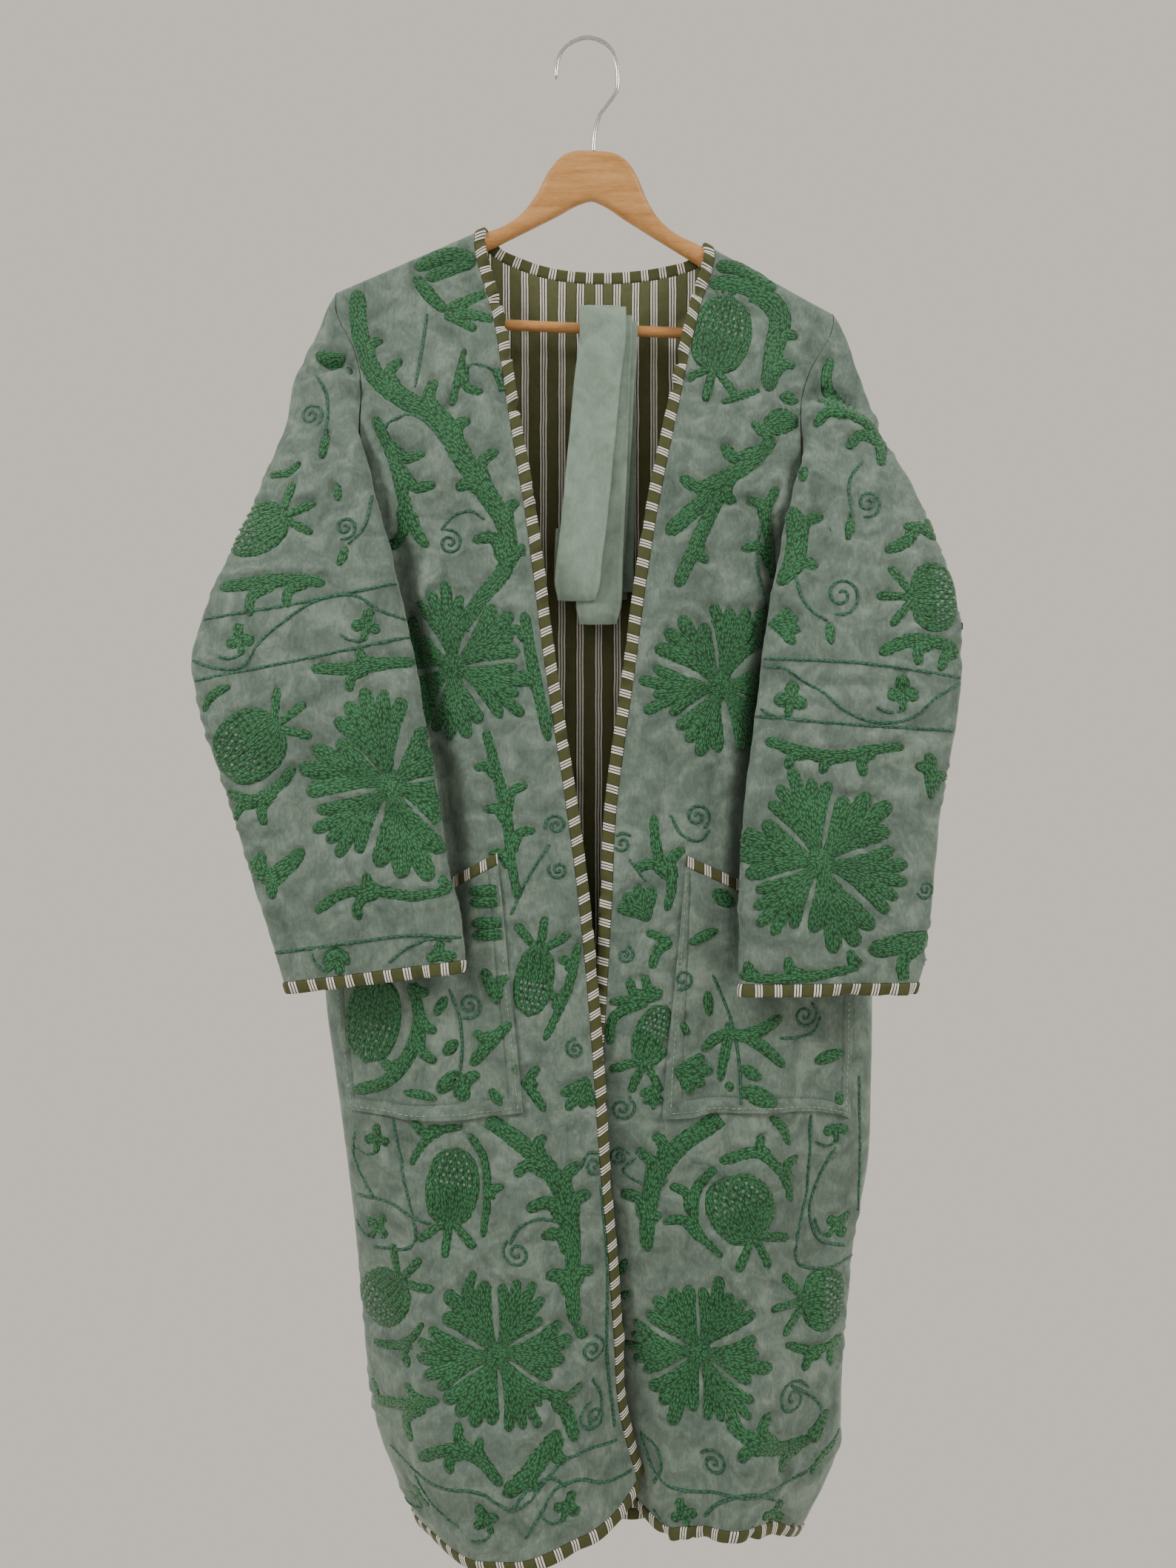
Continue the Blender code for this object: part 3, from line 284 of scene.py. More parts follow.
def ridge_drop(x):
    """The drop of the shoulder line's outer face above the hanger's arm at x."""
    out = x - HANGER_TOP.x
    for _ in range(4):
        down = WOOD_TOP.at(abs(out), "down")
        out = (x - HANGER_TOP.x + down * math.sin(HANGER_TILT)) / math.cos(HANGER_TILT)
    slope = (WOOD_TOP.at(abs(out) + 5, "down") - WOOD_TOP.at(abs(out) - 5, "down")) / 10
    lift = (SEAT_GAP + CLOTH) * math.hypot(1, slope)
    return -hanger_place(out, down).z - lift


def over_ridge(below, start=0.0):
    """How far cloth that hangs over the arm has come from its middle, below its top."""
    hidden = RIDGE_RADIUS - math.sqrt(RIDGE_RADIUS ** 2 - min(start, RIDGE_RADIUS) ** 2)
    left = max(RIDGE_RADIUS - below - hidden, 0.0)
    return max(math.sqrt(RIDGE_RADIUS ** 2 - left ** 2), start)


def fold_height(table, across, drop):
    """Sum of the soft folds at a place on a panel."""
    total = 0.0
    for top, low, start, end, width, height in table.rows:
        along = min(max((drop - start) / (end - start), 0.0), 1.0)
        middle = top + (low - top) * along
        total += height * ease(along * 3.0) * math.exp(-((across - middle) / width) ** 2)
    return total


def side_curve(part):
    """A quarter round, from a steep start to level."""
    return math.sqrt(1 - (1 - min(max(part, 0.0), 1.0)) ** 2)


def hem_drop(side, across=0):
    """The drop at which the cloth meets the binding of its hem."""
    return HEM[side].at(across, "drop") - BINDING_WIDTH - SEAM_GAP


def row_drop(start, bottom, below, along):
    """The drop of a row: some mm below its start at the shoulder, or a share of the way to its bottom."""
    if below is not None:
        return start + below
    return start + TOP_STEPS[-1] + (bottom - start - TOP_STEPS[-1]) * along


def below_armhole(z, side):
    """0 along the armhole, rising to 1 where the side seam begins."""
    return ease((-z - UNDERARM[side] + 45) / 40)


def lengths_along(places):
    """How far along a line each of its places lies."""
    return np.concatenate([[0], np.cumsum(np.linalg.norm(np.diff(places, axis=0), axis=1))])


def grid_normals(points, outward):
    """Normals of a grid of points, turned to the side that outward gives."""
    down = np.gradient(points, axis=0)
    across = np.gradient(points, axis=1)
    normals = np.cross(across, down)
    normals /= np.linalg.norm(normals, axis=2, keepdims=True)
    return normals * outward


print("the shoulder line lies", round(ridge_drop(-150)), "mm down at the left")

# %% The two fronts
def front_point(side, across, below, along):
    """A place on a front's outer face. below is in mm under the shoulder, along is the rest."""
    outer, edge = OUTER[side], EDGE[side]
    inset = SIGN[side] * (BINDING_WIDTH / 2 + SEAM_GAP)
    outer_top, edge_top = outer.rows[0, 1], edge.rows[0, 1] + inset
    drop_outer = row_drop(ridge_drop(outer_top), hem_drop(side), below, along)
    drop_edge = row_drop(ridge_drop(edge_top), hem_drop(side, 1), below, along)
    x_outer = outer.at(drop_outer, "x")
    x_edge = edge.at(drop_edge, "x") + inset
    x = x_outer + (x_edge - x_outer) * across
    top = ridge_drop(outer_top + (edge_top - outer_top) * across)
    drop = row_drop(top, hem_drop(side, across), below, along)
    armhole = ease((drop_outer - 330) / 120)
    rounding = ARMHOLE_ROUNDING * armhole * side_curve(across * abs(x_edge - x_outer) / FRONT_ROUNDING)
    depth = outer.at(drop_outer, "depth") * (1 - across) + edge.at(drop_edge, "depth") * across
    depth -= rounding * (1 - across)
    depth -= SWELL.at(drop, side) * 4 * across * (1 - across)
    depth -= fold_height(FRONT_FOLDS[side], across, drop) * min(1, 8 * across, 8 * (1 - across))
    fallen = drop - top
    depth = -over_ridge(fallen, SEAM_GAP / 2) + ease(fallen / SHOULDER_FALL) * (depth + RIDGE_RADIUS)
    return (x, depth, -drop)


def armhole_drops(side):
    """The drops of the rows along the armhole, from just under the shoulder to the underarm."""
    top = ridge_drop(OUTER[side].rows[0, 1]) + TOP_STEPS[-1]
    return [top + (UNDERARM[side] - top) * part for part in ARMHOLE_SHARES]


def front_rows(side):
    """The rows of a front: near the shoulder by drop, then down to the hem by share."""
    rows = [(step, None) for step in TOP_STEPS]
    drops = armhole_drops(side)
    top, underarm = drops[0], drops[-1]
    bottom = hem_drop(side)
    drops = drops[1:] + [underarm + (bottom - underarm) * i / ROWS_BELOW for i in range(1, ROWS_BELOW + 1)]
    return rows + [(None, (drop - top) / (bottom - top)) for drop in drops]


def round_normals(points, normals):
    """Over the hanger's arm, normals are those of the round that the cloth makes."""
    for r in range(TOP_STEPS.index(RIDGE_STEP) + 1):
        for c in range(points.shape[1]):
            x, depth, _ = points[r, c]
            if abs(depth) > RIDGE_RADIUS - 0.02:
                continue
            slope = (ridge_drop(x + 2) - ridge_drop(x - 2)) / 4
            ridge = np.array([slope, 0, 1]) / math.hypot(slope, 1)
            lean = 0.0 if abs(depth) < SEAM_GAP else depth / RIDGE_RADIUS
            normals[r, c] = ridge * math.sqrt(1 - lean ** 2) + np.array([0, lean, 0])
        for c in range(points.shape[1]):
            spare = abs(points[r, c, 1]) - RIDGE_RADIUS
            if -0.02 <= spare < 4:
                square = np.array([0, math.copysign(1, points[r, c, 1]), 0])
                normals[r, c] = square + (normals[r, c] - square) * ease(spare / 4)


def settle_normals(points, normals, seam_column, side):
    """Square the edges that meet another piece: up at the shoulder, sideways at the side seam."""
    round_normals(points, normals)
    for place, normal in zip(points[:, seam_column], normals[:, seam_column]):
        normal[1] *= 1 - below_armhole(place[2], side)
        if normal[0] * SIGN[side] < 0:
            normal[0] = 0
    normals /= np.linalg.norm(normals, axis=2, keepdims=True)
    return normals


def front_grid(side):
    rows = front_rows(side)
    points = np.array([[front_point(side, across, *row) for across in FRONT_ACROSS] for row in rows])
    normals = grid_normals(points, SIGN[side])
    return points, settle_normals(points, normals, seam_column=0, side=side)


print("a front's coarse net has", len(front_rows("left")), "rows of", len(FRONT_ACROSS))

# %% The back, with its neckline
def back_columns():
    """The top of each column of the back: x, depth and drop, along shoulder, neck and shoulder."""
    left, right = BACK_OUTER["left"].rows[0, 1], BACK_OUTER["right"].rows[0, 1]
    neck = [tuple(row) for row in NECKLINE.rows]
    tops = []
    for i in range(BACK_SHOULDER_CELLS):
        x = left + (neck[0][0] - left) * i / BACK_SHOULDER_CELLS
        tops.append((x, SEAM_GAP / 2, ridge_drop(x)))
    for x, depth, drop in neck:
        if drop == 0:
            drop = ridge_drop(x) + RIDGE_RADIUS - math.sqrt(RIDGE_RADIUS ** 2 - depth ** 2)
        tops.append((x, depth, drop))
    for i in range(1, BACK_SHOULDER_CELLS + 1):
        x = neck[-1][0] + (right - neck[-1][0]) * i / BACK_SHOULDER_CELLS
        tops.append((x, SEAM_GAP / 2, ridge_drop(x)))
    return tops


def back_side(side, drop):
    """The back's border at a drop: the armhole edge, then the front's own side seam."""
    table = BACK_OUTER[side]
    if drop <= table.rows[-1, 0]:
        return table.at(drop, "x"), table.at(drop, "depth")
    return OUTER[side].at(drop, "x"), SIDE_SEAM_DEPTH


def back_point(top, high, low, below, along):
    """A place on the back's outer face. It is high across at the top and low across below."""
    _, depth_top, drop_top = top
    hem = {side: hem_drop(side) for side in HEM}
    borders = [back_side(side, row_drop(ridge_drop(BACK_OUTER[side].rows[0, 1]), hem[side], below, along))
               for side in HEM]
    (x_left, depth_left), (x_right, depth_right) = borders
    drop = row_drop(drop_top, hem["left"] + (hem["right"] - hem["left"]) * low, below, along)
    across = high + (low - high) * ease((drop - drop_top - 10) / 240)
    x = x_left + (x_right - x_left) * across
    from_side = min(x - x_left, x_right - x)
    border = depth_left if x - x_left < x_right - x else depth_right
    depth = border + (BACK_DEPTH - border) * side_curve(from_side / BACK_ROUNDING)
    depth += fold_height(BACK_FOLDS, across, drop) * min(1, from_side / 60)
    fallen = drop - drop_top
    start = over_ridge(fallen, depth_top)
    fall = SHOULDER_FALL + (NECK_FALL - SHOULDER_FALL) * ease((depth_top - RIDGE_RADIUS) / 5)
    return (x, start + ease(fallen / fall) * (depth - max(RIDGE_RADIUS, depth_top)), -drop)


def back_grid():
    tops = back_columns()
    left, right, last = tops[0][0], tops[-1][0], len(tops) - 1
    points = []
    for (below, along), (_, along_right) in zip(front_rows("left"), front_rows("right")):
        row = []
        for i, top in enumerate(tops):
            share = None if along is None else along + (along_right - along) * i / last
            row.append(back_point(top, (top[0] - left) / (right - left), i / last, below, share))
        points.append(row)
    points = np.array(points)
    normals = grid_normals(points, 1)
    first, last = BACK_SHOULDER_CELLS, BACK_SHOULDER_CELLS + len(NECKLINE.rows) - 1
    down = np.gradient(points, axis=0)
    for corner, before, after in ((first, first - 1, first + 3), (last - 2, last - 3, last + 1)):
        across = points[:, after] - points[:, before]
        facing = np.cross(across, down[:, corner + 1])
        facing /= np.linalg.norm(facing, axis=1, keepdims=True)
        for column in range(corner, corner + 3):
            normals[:, column] = facing
    round_normals(points, normals)
    for column, side in ((0, "left"), (-1, "right")):
        for place, normal in zip(points[:, column], normals[:, column]):
            normal[1] *= 1 - below_armhole(place[2], side)
    normals /= np.linalg.norm(normals, axis=2, keepdims=True)
    return points, normals


print("the back's coarse net has", len(back_columns()), "columns")

# %% Where the sleeves meet the armholes
def armhole_point(side, drop, piece):
    """A place on the armhole's edge of the front or the back, at a drop."""
    top = ridge_drop(OUTER[side].rows[0, 1])
    bottom = hem_drop(side)
    below, along = drop - top, None
    if below > TOP_STEPS[-1]:
        along = (below - TOP_STEPS[-1]) / (bottom - top - TOP_STEPS[-1])
        below = None
    if piece == "front":
        return np.array(front_point(side, 0, below, along))
    tops = back_columns()
    if side == "left":
        return np.array(back_point(tops[0], 0, 0, below, along))
    return np.array(back_point(tops[-1], 1, 1, below, along))


def even_out(points, count):
    """Spread a number of places evenly along a smooth curve through the given ones."""
    points = np.array(points, dtype=float)
    fine = []
    for i in range(len(points) - 1):
        before = points[max(i - 1, 0)]
        a, b = points[i], points[i + 1]
        after = points[min(i + 2, len(points) - 1)]
        for f in np.linspace(0, 1, 12, endpoint=False):
            fine.append(0.5 * (2 * a + (b - before) * f + (2 * before - 5 * a + 4 * b - after) * f ** 2
                               + (3 * a - 3 * b + after - before) * f ** 3))
    fine.append(points[-1])
    fine = np.array(fine)
    steps = lengths_along(fine)
    wanted = np.linspace(0, steps[-1], count)
    return np.stack([np.interp(wanted, steps, fine[:, k]) for k in range(3)], axis=1)


def front_face(side, x, drop):
    """The depth of a front's outer face at a place behind the sleeve's inner fold."""
    x_outer = OUTER[side].at(drop, "x")
    x_edge = EDGE[side].at(drop, "x") + SIGN[side] * (BINDING_WIDTH / 2 + SEAM_GAP)
    top = ridge_drop(OUTER[side].rows[0, 1]) + TOP_STEPS[-1]
    bottom = hem_drop(side)
    across = min(max((x - x_outer) / (x_edge - x_outer), 0.0), 1.0)
    return front_point(side, across, None, (drop - top) / (bottom - top))[1]


print("the left armhole ends at a depth of", round(armhole_point("left", 450, "front")[1], 1), "mm")

# %% The sleeves, folded flat under their own weight
def sleeve_section(side, section, armhole):
    """One section of a sleeve: from the front of the armhole, or the underarm seam, round to the back."""
    sign = SIGN[side]
    reach = ease((section - 3) / 1.5) if armhole is not None else 1.0
    away = np.array([sign * (0.5 + reach), 0, 0])
    table = SLEEVES[side]
    row = {name: table.at(section, name) for name in table.names}
    inner = np.array([row["x_in"], row["depth_in"], -row["drop_in"]])
    outer = np.array([row["x_out"], row["depth_out"], -row["drop_out"]])
    underarm = armhole_drops(side)[-1]

    width = abs(outer[0] - inner[0])

    def swollen(part):
        near = min(part, 1 - part) * width
        return 0.5 * side_curve(near / FOLD_ROUNDING) + 0.5 * math.sqrt(4 * part * (1 - part))

    def layer(parts, swell, start, end):
        return [start + (end - start) * s + np.array([0, swell * swollen(s), 0]) for s in parts]

    if armhole is not None:
        begin = armhole_point(side, armhole, "front") + away
        finish = armhole_point(side, armhole, "back") + away
        if armhole == underarm:
            begin[0] -= sign * SEAM_GAP
            finish[0] += sign * SEAM_GAP
        lip = []
        over = ease((sign * (begin[0] - inner[0]) - 4) / 14)
        for part in (0.25 - 0.25 * over, 0.5 - 0.1 * over, 0.78):
            spot = begin + (inner - begin) * part
            beside = spot[0] - sign * LIP_CLEARANCE
            clear = min(spot[1], front_face(side, beside, armhole) - LIP_CLEARANCE)
            spot[1] += (clear - spot[1]) * over
            lip.append(spot)
    else:
        part = min((row["armhole"] - underarm) / 60, 1.0)
        share = SEAM_SETBACK.at(section, "setback") / width
        seam = layer([share], row["back"], inner, outer)[0]
        join = armhole_point(side, underarm, "front") + away
        seam = join + (seam - join) * np.array([ease(part), ease(2.2 * part), 1])
        way = (outer - inner) / np.linalg.norm(outer - inner)
        begin = seam - way * SEAM_GAP
        finish = seam + way * SEAM_GAP
        lip = layer([share * 0.75, 0.055, 0.016], row["back"], inner, outer)
    front = layer((0.016, 0.055, 0.2, 0.4, 0.6, 0.8, 0.945, 0.984), -row["front"], inner, outer)
    back = layer((0.016, 0.055, 0.25, 0.55, 0.85), row["back"], outer, finish)
    folded = np.array([begin] + lip + [inner] + front + [outer] + back + [finish])
    if reach == 1.0:
        return folded
    middle = (begin + finish) / 2
    round_way = [middle + (begin - middle) * math.cos(turn) + (outer - middle) * math.sin(turn)
                 for turn in np.linspace(0, math.pi, 25)]
    plain = even_out(round_way, SLEEVE_POINTS)
    return plain + (folded - plain) * reach


def sleeve_crown(side):
    """The first section: over the end of the shoulder, beside the edges of front and back."""
    away = np.array([SIGN[side] * 0.5, 0, 0])
    top = ridge_drop(OUTER[side].rows[0, 1])
    steps = (9.2, 6.5, 4.6, 2.0, 0.5, 0)
    front = [armhole_point(side, top + step, "front") + away for step in steps]
    back = [armhole_point(side, top + step, "back") + away for step in reversed(steps)]
    return even_out(front[:-1] + [(front[-1] + back[0]) / 2] + back[1:], SLEEVE_POINTS)


def sleeve_grid(side):
    table = SLEEVES[side]
    rows = [sleeve_crown(side)]
    seams = armhole_drops(side)
    for drop in seams:
        section = np.interp(drop, table.rows[:, table.names.index("armhole")], table.rows[:, 0])
        rows.append(sleeve_section(side, section, drop))
    rows += [sleeve_section(side, section, None) for section in LOW_SECTIONS]
    points = np.array(rows)
    normals = grid_normals(points, -SIGN[side])
    for c in range(SLEEVE_POINTS):
        lean = min(max(points[0, c, 1] / RIDGE_RADIUS, -1.0), 1.0)
        normals[0, c] = (0, lean, math.sqrt(1 - lean ** 2))
    for r in range(1, len(points)):
        if r >= len(seams):
            normals[r, 0] = normals[r, -1] = (normals[r, 0] + normals[r, -1]) / 2
            continue
        for column in (0, -1):
            if normals[r, column, 0] * SIGN[side] > 0:
                normals[r, column, 0] = 0
    normals /= np.linalg.norm(normals, axis=2, keepdims=True)
    return points, normals


print("a sleeve's coarse net has", SLEEVE_POINTS, "places a row")

# %% [markdown]
# ## From a coarse net to fine cloth
# The solids follow each panel through a few hundred places, about 20 mm apart. Cloth that is looked
# at closely needs a place every few millimetres. A smooth curve is read through the coarse places,
# first down the cloth and then across it, so that the fine net passes through the same places.

# %% Refine a net of places
CLOTH_STEP = 3.5
BACK_STEP = 5.0
RIDGE_FINE = 1.6


def mean_steps(points, axis):
    """How far along the cloth each row (axis 0) or column (axis 1) lies, on average."""
    gaps = np.linalg.norm(np.diff(points, axis=axis), axis=2).mean(axis=1 - axis)
    return np.concatenate([[0], np.cumsum(gaps)])


def read_between(values, at, wanted):
    """A smooth curve through rows of values, read at wanted places along it."""
    gaps = np.diff(at)[:, None, None]
    rises = np.diff(values, axis=0) / gaps
    slopes = np.concatenate([rises[:1], rises[1:], rises[-1:]])
    slopes[1:-1] = (rises[:-1] * gaps[1:] + rises[1:] * gaps[:-1]) / (gaps[1:] + gaps[:-1])
    i = np.clip(np.searchsorted(at, wanted, side="right") - 1, 0, len(at) - 2)
    f = (wanted - at[i])[:, None, None] / gaps[i]
    plain = (2 * f ** 3 - 3 * f ** 2 + 1) * values[i] + (3 * f ** 2 - 2 * f ** 3) * values[i + 1]
    return plain + gaps[i] * ((f ** 3 - 2 * f ** 2 + f) * slopes[i] + (f ** 3 - f ** 2) * slopes[i + 1])


def resample(values, at, wanted):
    """Rows of places or directions, read smoothly at other places along a line."""
    return read_between(values[:, None, :], at, wanted)[:, 0]


def unit(ways):
    return ways / np.linalg.norm(ways, axis=-1, keepdims=True)


def refine(points, normals, step, fine_top=0.0):
    """The same cloth with a place every step mm, and closer over the hanger's arm."""
    down, across = mean_steps(points, 0), mean_steps(points, 1)
    rows = np.linspace(fine_top, down[-1], int((down[-1] - fine_top) / step) + 1)
    if fine_top:
        rows = np.concatenate([np.linspace(0, fine_top, int(fine_top / RIDGE_FINE) + 1)[:-1], rows])
    columns = np.linspace(0, across[-1], int(across[-1] / step) + 1)
    made = []
    for values in (points, normals):
        values = read_between(values, down, rows)
        made.append(read_between(values.transpose(1, 0, 2), across, columns).transpose(1, 0, 2))
    made[1] /= np.linalg.norm(made[1], axis=2, keepdims=True)
    return made


nets = {}
for side in ("left", "right"):
    nets["front_" + side] = refine(*front_grid(side), CLOTH_STEP, fine_top=20)
    nets["sleeve_" + side] = refine(*sleeve_grid(side), CLOTH_STEP)
nets["back"] = refine(*back_grid(), BACK_STEP, fine_top=20)
for name, (points, _) in nets.items():
    print(name, "has", points.shape[0], "rows of", points.shape[1])

# %% [markdown]
# ## Creases, placed one by one
# Hung velvet with heavy stitching doesn't hang smooth. It puckers beside the stitches, folds under
# the armhole, and keeps the lines it was folded along. Each main crease is a short line of
# places on the cloth with a width and a height: a ridge when the height is above 0 and a trough
# when it is below. A quiet noise adds the small crumples between them.

# %% A field of soft creases
def places_of(line):
    """The places of a line that is written as x,y pairs."""
    return np.array([pair.split(",") for pair in line.split()], dtype=float)


def crease_heights(x, drop, creases):
    """How far a set of creases lifts each place of the cloth, in mm."""
    total = np.zeros_like(x)
    for height, width, line in creases:
        places = places_of(line)
        lengths = np.linalg.norm(np.diff(places, axis=0), axis=1)
        starts = np.concatenate([[0], np.cumsum(lengths)])
        nearest, along = np.full(x.shape, 1e9), np.zeros_like(x)
        for a, b, start, length in zip(places, places[1:], starts, lengths):
            way = (b - a) / length
            run = np.clip((x - a[0]) * way[0] + (drop - a[1]) * way[1], 0, length)
            gap = np.hypot(x - a[0] - way[0] * run, drop - a[1] - way[1] * run)
            along = np.where(gap < nearest, start + run, along)
            nearest = np.minimum(gap, nearest)
        share = along / starts[-1]
        total += height * np.sqrt(np.clip(4 * share * (1 - share), 0, 1)) * np.exp(-(nearest / width) ** 2)
    return total


def crumple_heights(x, drop, seed, sizes=((34.0, 1.3), (13.0, 0.75))):
    """Small uneven crumples: a noise for each size in mm, with its height."""
    heights = [sum(height * noise.noise(Vector((a / size, b / size, seed))) for size, height in sizes)
               for a, b in zip(x.ravel(), drop.ravel())]
    return np.array(heights).reshape(x.shape)


def border_fade(net, reach=9.0):
    """1 on the open cloth, falling to 0 at its borders, where it is sewn to its neighbours."""
    down, across = mean_steps(net, 0), mean_steps(net, 1)
    from_rows = np.minimum(down, down[-1] - down)[:, None]
    from_columns = np.minimum(across, across[-1] - across)[None, :]
    share = np.clip(np.minimum(from_rows, from_columns) / reach, 0, 1)
    return share * share * (3 - 2 * share)


middle = crease_heights(np.array([5.0]), np.array([0.0]), [(2, 6, "0,0 10,0")])
print("the middle of a crease 2 mm high rises by", middle[0], "mm")

# %% The creases of the fronts, the back and the sleeves
# Each has a height, a width, and the places along it as x,drop pairs.
FRONT_CREASES = {
    "left": [
        (-2.4, 7, "-196,330 -160,372 -120,452"), (2.0, 8, "-190,350 -150,400 -112,486"),
        (-2.0, 6, "-205,430 -168,440 -134,470"), (1.6, 9, "-80,300 -76,380 -60,470"),
        (-1.6, 8, "-60,340 -52,440 -40,540"),
        (-16.0, 10, "-162,440 -155,500 -139,560 -120,650 -112,745 -108,820"),
        (3.6, 8, "-136,480 -118,560 -99,650 -92,740"), (-2.0, 7, "-60,560 -52,640 -22,690"),
        (1.8, 6, "-100,990 -60,1000 -20,1030"), (-2.6, 7, "-212,930 -168,958 -120,985"),
        (2.0, 7, "-208,944 -160,974 -110,1002"), (-1.8, 6, "-200,1010 -150,1034 -100,1026"),
        (-2.4, 7, "-196,1100 -150,1128 -96,1120"), (3.4, 6, "20,1104 -18,1150 -60,1190"),
        (-4.0, 7, "28,1110 -12,1160 -52,1200"), (-1.8, 8, "-40,860 -30,960 -34,1050"),
        (1.6, 7, "-160,1160 -120,1190 -70,1186"),
    ],
    "right": [
        (-3.0, 7, "186,330 150,372 126,440"), (2.4, 7, "194,344 160,388 138,470"),
        (-2.2, 6, "200,420 166,440 146,480"), (-1.8, 8, "120,330 112,420 104,520"),
        (1.8, 8, "96,400 90,500 84,600"), (-1.6, 7, "70,470 62,560 52,640"),
        (-16.0, 10, "170,430 162,500 153,566 138,650 132,745 130,820"),
        (3.6, 8, "145,480 133,566 118,650 112,740"), (-2.2, 7, "238,920 190,938 150,930"),
        (2.0, 7, "228,940 180,958 140,950"), (-1.8, 6, "60,980 110,990 170,1010"),
        (-3.0, 8, "230,1020 190,1058 150,1070"), (2.6, 7, "226,1040 186,1078 140,1086"),
        (1.8, 6, "52,900 56,1000 50,1090"), (-2.4, 7, "60,1150 110,1170 170,1150"),
        (2.0, 6, "54,1170 90,1196 150,1190"),
    ],
}
BACK_CREASES = [
    (-3.0, 9, "-190,350 -130,420 -96,540"), (2.4, 9, "-176,340 -112,410 -78,520"),
    (-3.0, 9, "190,360 134,430 100,560"), (2.4, 9, "176,350 116,420 84,540"),
    (-2.2, 10, "-150,640 -120,800 -128,960"), (2.0, 10, "-60,560 -50,760 -62,900"),
    (-2.4, 10, "40,480 52,700 40,900"), (2.2, 10, "140,700 128,880 140,1040"),
    (-2.6, 8, "-210,1020 -120,1050 -40,1036"), (2.0, 8, "-200,1044 -110,1074 -30,1062"),
    (-2.6, 8, "210,1080 130,1108 60,1096"), (2.0, 8, "200,1104 124,1130 60,1122"),
    (-1.8, 9, "-30,300 -34,400 -20,480"), (1.8, 9, "60,290 58,380 70,460"),
]
SLEEVE_CREASES = {
    "left": {
        "front": [
            (-9.0, 6, "-244,296 -214,286 -188,296"), (8.0, 9, "-246,312 -214,302 -188,312"),
            (-2.2, 7, "-208,330 -226,400 -262,470"), (1.8, 8, "-196,340 -206,420 -240,500"),
            (-2.0, 7, "-170,420 -180,500 -200,560"), (-1.6, 7, "-300,500 -262,540 -210,548"),
            (-3.0, 5, "-292,650 -240,647 -150,640"), (2.4, 6, "-294,660 -236,658 -140,652"),
            (-2.6, 5, "-190,665 -160,676 -128,694"), (2.0, 6, "-176,660 -148,666 -124,680"),
            (-1.8, 7, "-296,600 -270,570 -240,560"), (1.6, 8, "-150,560 -170,590 -196,606"),
        ],
        "back": [
            (-2.6, 8, "-216,330 -240,420 -276,500"), (2.0, 8, "-200,350 -220,440 -250,520"),
            (-2.8, 6, "-290,650 -220,646 -140,650"), (2.2, 6, "-290,662 -220,658 -136,662"),
            (-2.0, 8, "-160,480 -180,560 -200,620"),
        ],
    },
    "right": {
        "front": [
            (-9.0, 6, "176,322 206,310 246,326"), (8.0, 9, "176,340 206,328 250,346"),
            (-2.2, 7, "204,350 228,420 260,480"), (1.8, 8, "190,360 208,440 236,500"),
            (-2.2, 6, "170,460 230,462 300,470"), (-1.8, 6, "290,480 252,500 222,496"),
            (-2.6, 5, "150,570 220,566 300,572"), (2.0, 6, "150,580 220,577 296,582"),
            (-2.6, 6, "262,560 268,590 290,618"), (2.2, 6, "252,560 258,600 282,630"),
            (1.8, 7, "150,740 200,748 250,742"), (-2.0, 6, "200,690 240,700 280,690"),
        ],
        "back": [
            (-2.6, 8, "214,350 238,440 270,510"), (2.0, 8, "200,370 220,460 248,540"),
            (-2.8, 6, "290,570 220,566 150,572"), (2.2, 6, "290,582 220,578 148,584"),
            (-2.0, 8, "160,500 180,580 200,640"),
        ],
    },
}
CRUMPLE_SEEDS = {"front_left": 1.3, "front_right": 4.7, "sleeve_left": 8.1, "sleeve_right": 11.9,
                 "back": 16.2}
print("the left front has", len(FRONT_CREASES["left"]), "creases")

# %% Move the nets by their creases
FADE_BELOW_SHOULDER = 30


def crease_net(name, net, normals):
    """The fine net with its creases, moved along its own normals."""
    x, drop = net[..., 0], -net[..., 2]
    lift = crumple_heights(x, drop, CRUMPLE_SEEDS[name])
    kind, _, side = name.partition("_")
    if kind == "front":
        lift += crease_heights(x, drop, FRONT_CREASES[side])
    elif kind == "back":
        lift += crease_heights(x, drop, BACK_CREASES)
    else:
        facing = np.clip(-normals[..., 1] * 1.5, -1, 1)
        lift += np.clip(facing, 0, 1) * crease_heights(x, drop, SLEEVE_CREASES[side]["front"])
        lift += np.clip(-facing, 0, 1) * crease_heights(x, drop, SLEEVE_CREASES[side]["back"])
    lift *= border_fade(net)
    if kind != "sleeve":
        lift *= np.clip((drop - drop.min(axis=0)) / FADE_BELOW_SHOULDER, 0, 1)
    return net + normals * lift[..., None]


for name, (points, normals) in nets.items():
    nets[name][0] = crease_net(name, points, normals)
    print(name, "moved by up to", round(float(np.abs(nets[name][0] - points).max()), 1), "mm")

# %% Search trees for finding the cloth behind a place
def tree_of(net):
    """A search tree over a net of places, in millimetres."""
    rows, columns = net.shape[:2]
    index = np.arange(rows * columns).reshape(rows, columns)
    faces = np.stack([index[:-1, :-1], index[:-1, 1:], index[1:, 1:], index[1:, :-1]], axis=-1).reshape(-1, 4)
    return BVHTree.FromPolygons(net.reshape(-1, 3).tolist(), faces.tolist())


trees = {name: tree_of(net) for name, (net, _) in nets.items()}
print("trees over", ", ".join(trees))


def drop_onto(tree, x, z, from_front=True):
    """The depth and direction of the cloth behind a place, looked at from the front or the back."""
    start = Vector((x, -400 if from_front else 400, z))
    place, normal, _, _ = tree.ray_cast(start, Vector((0, 1 if from_front else -1, 0)))
    return place, normal


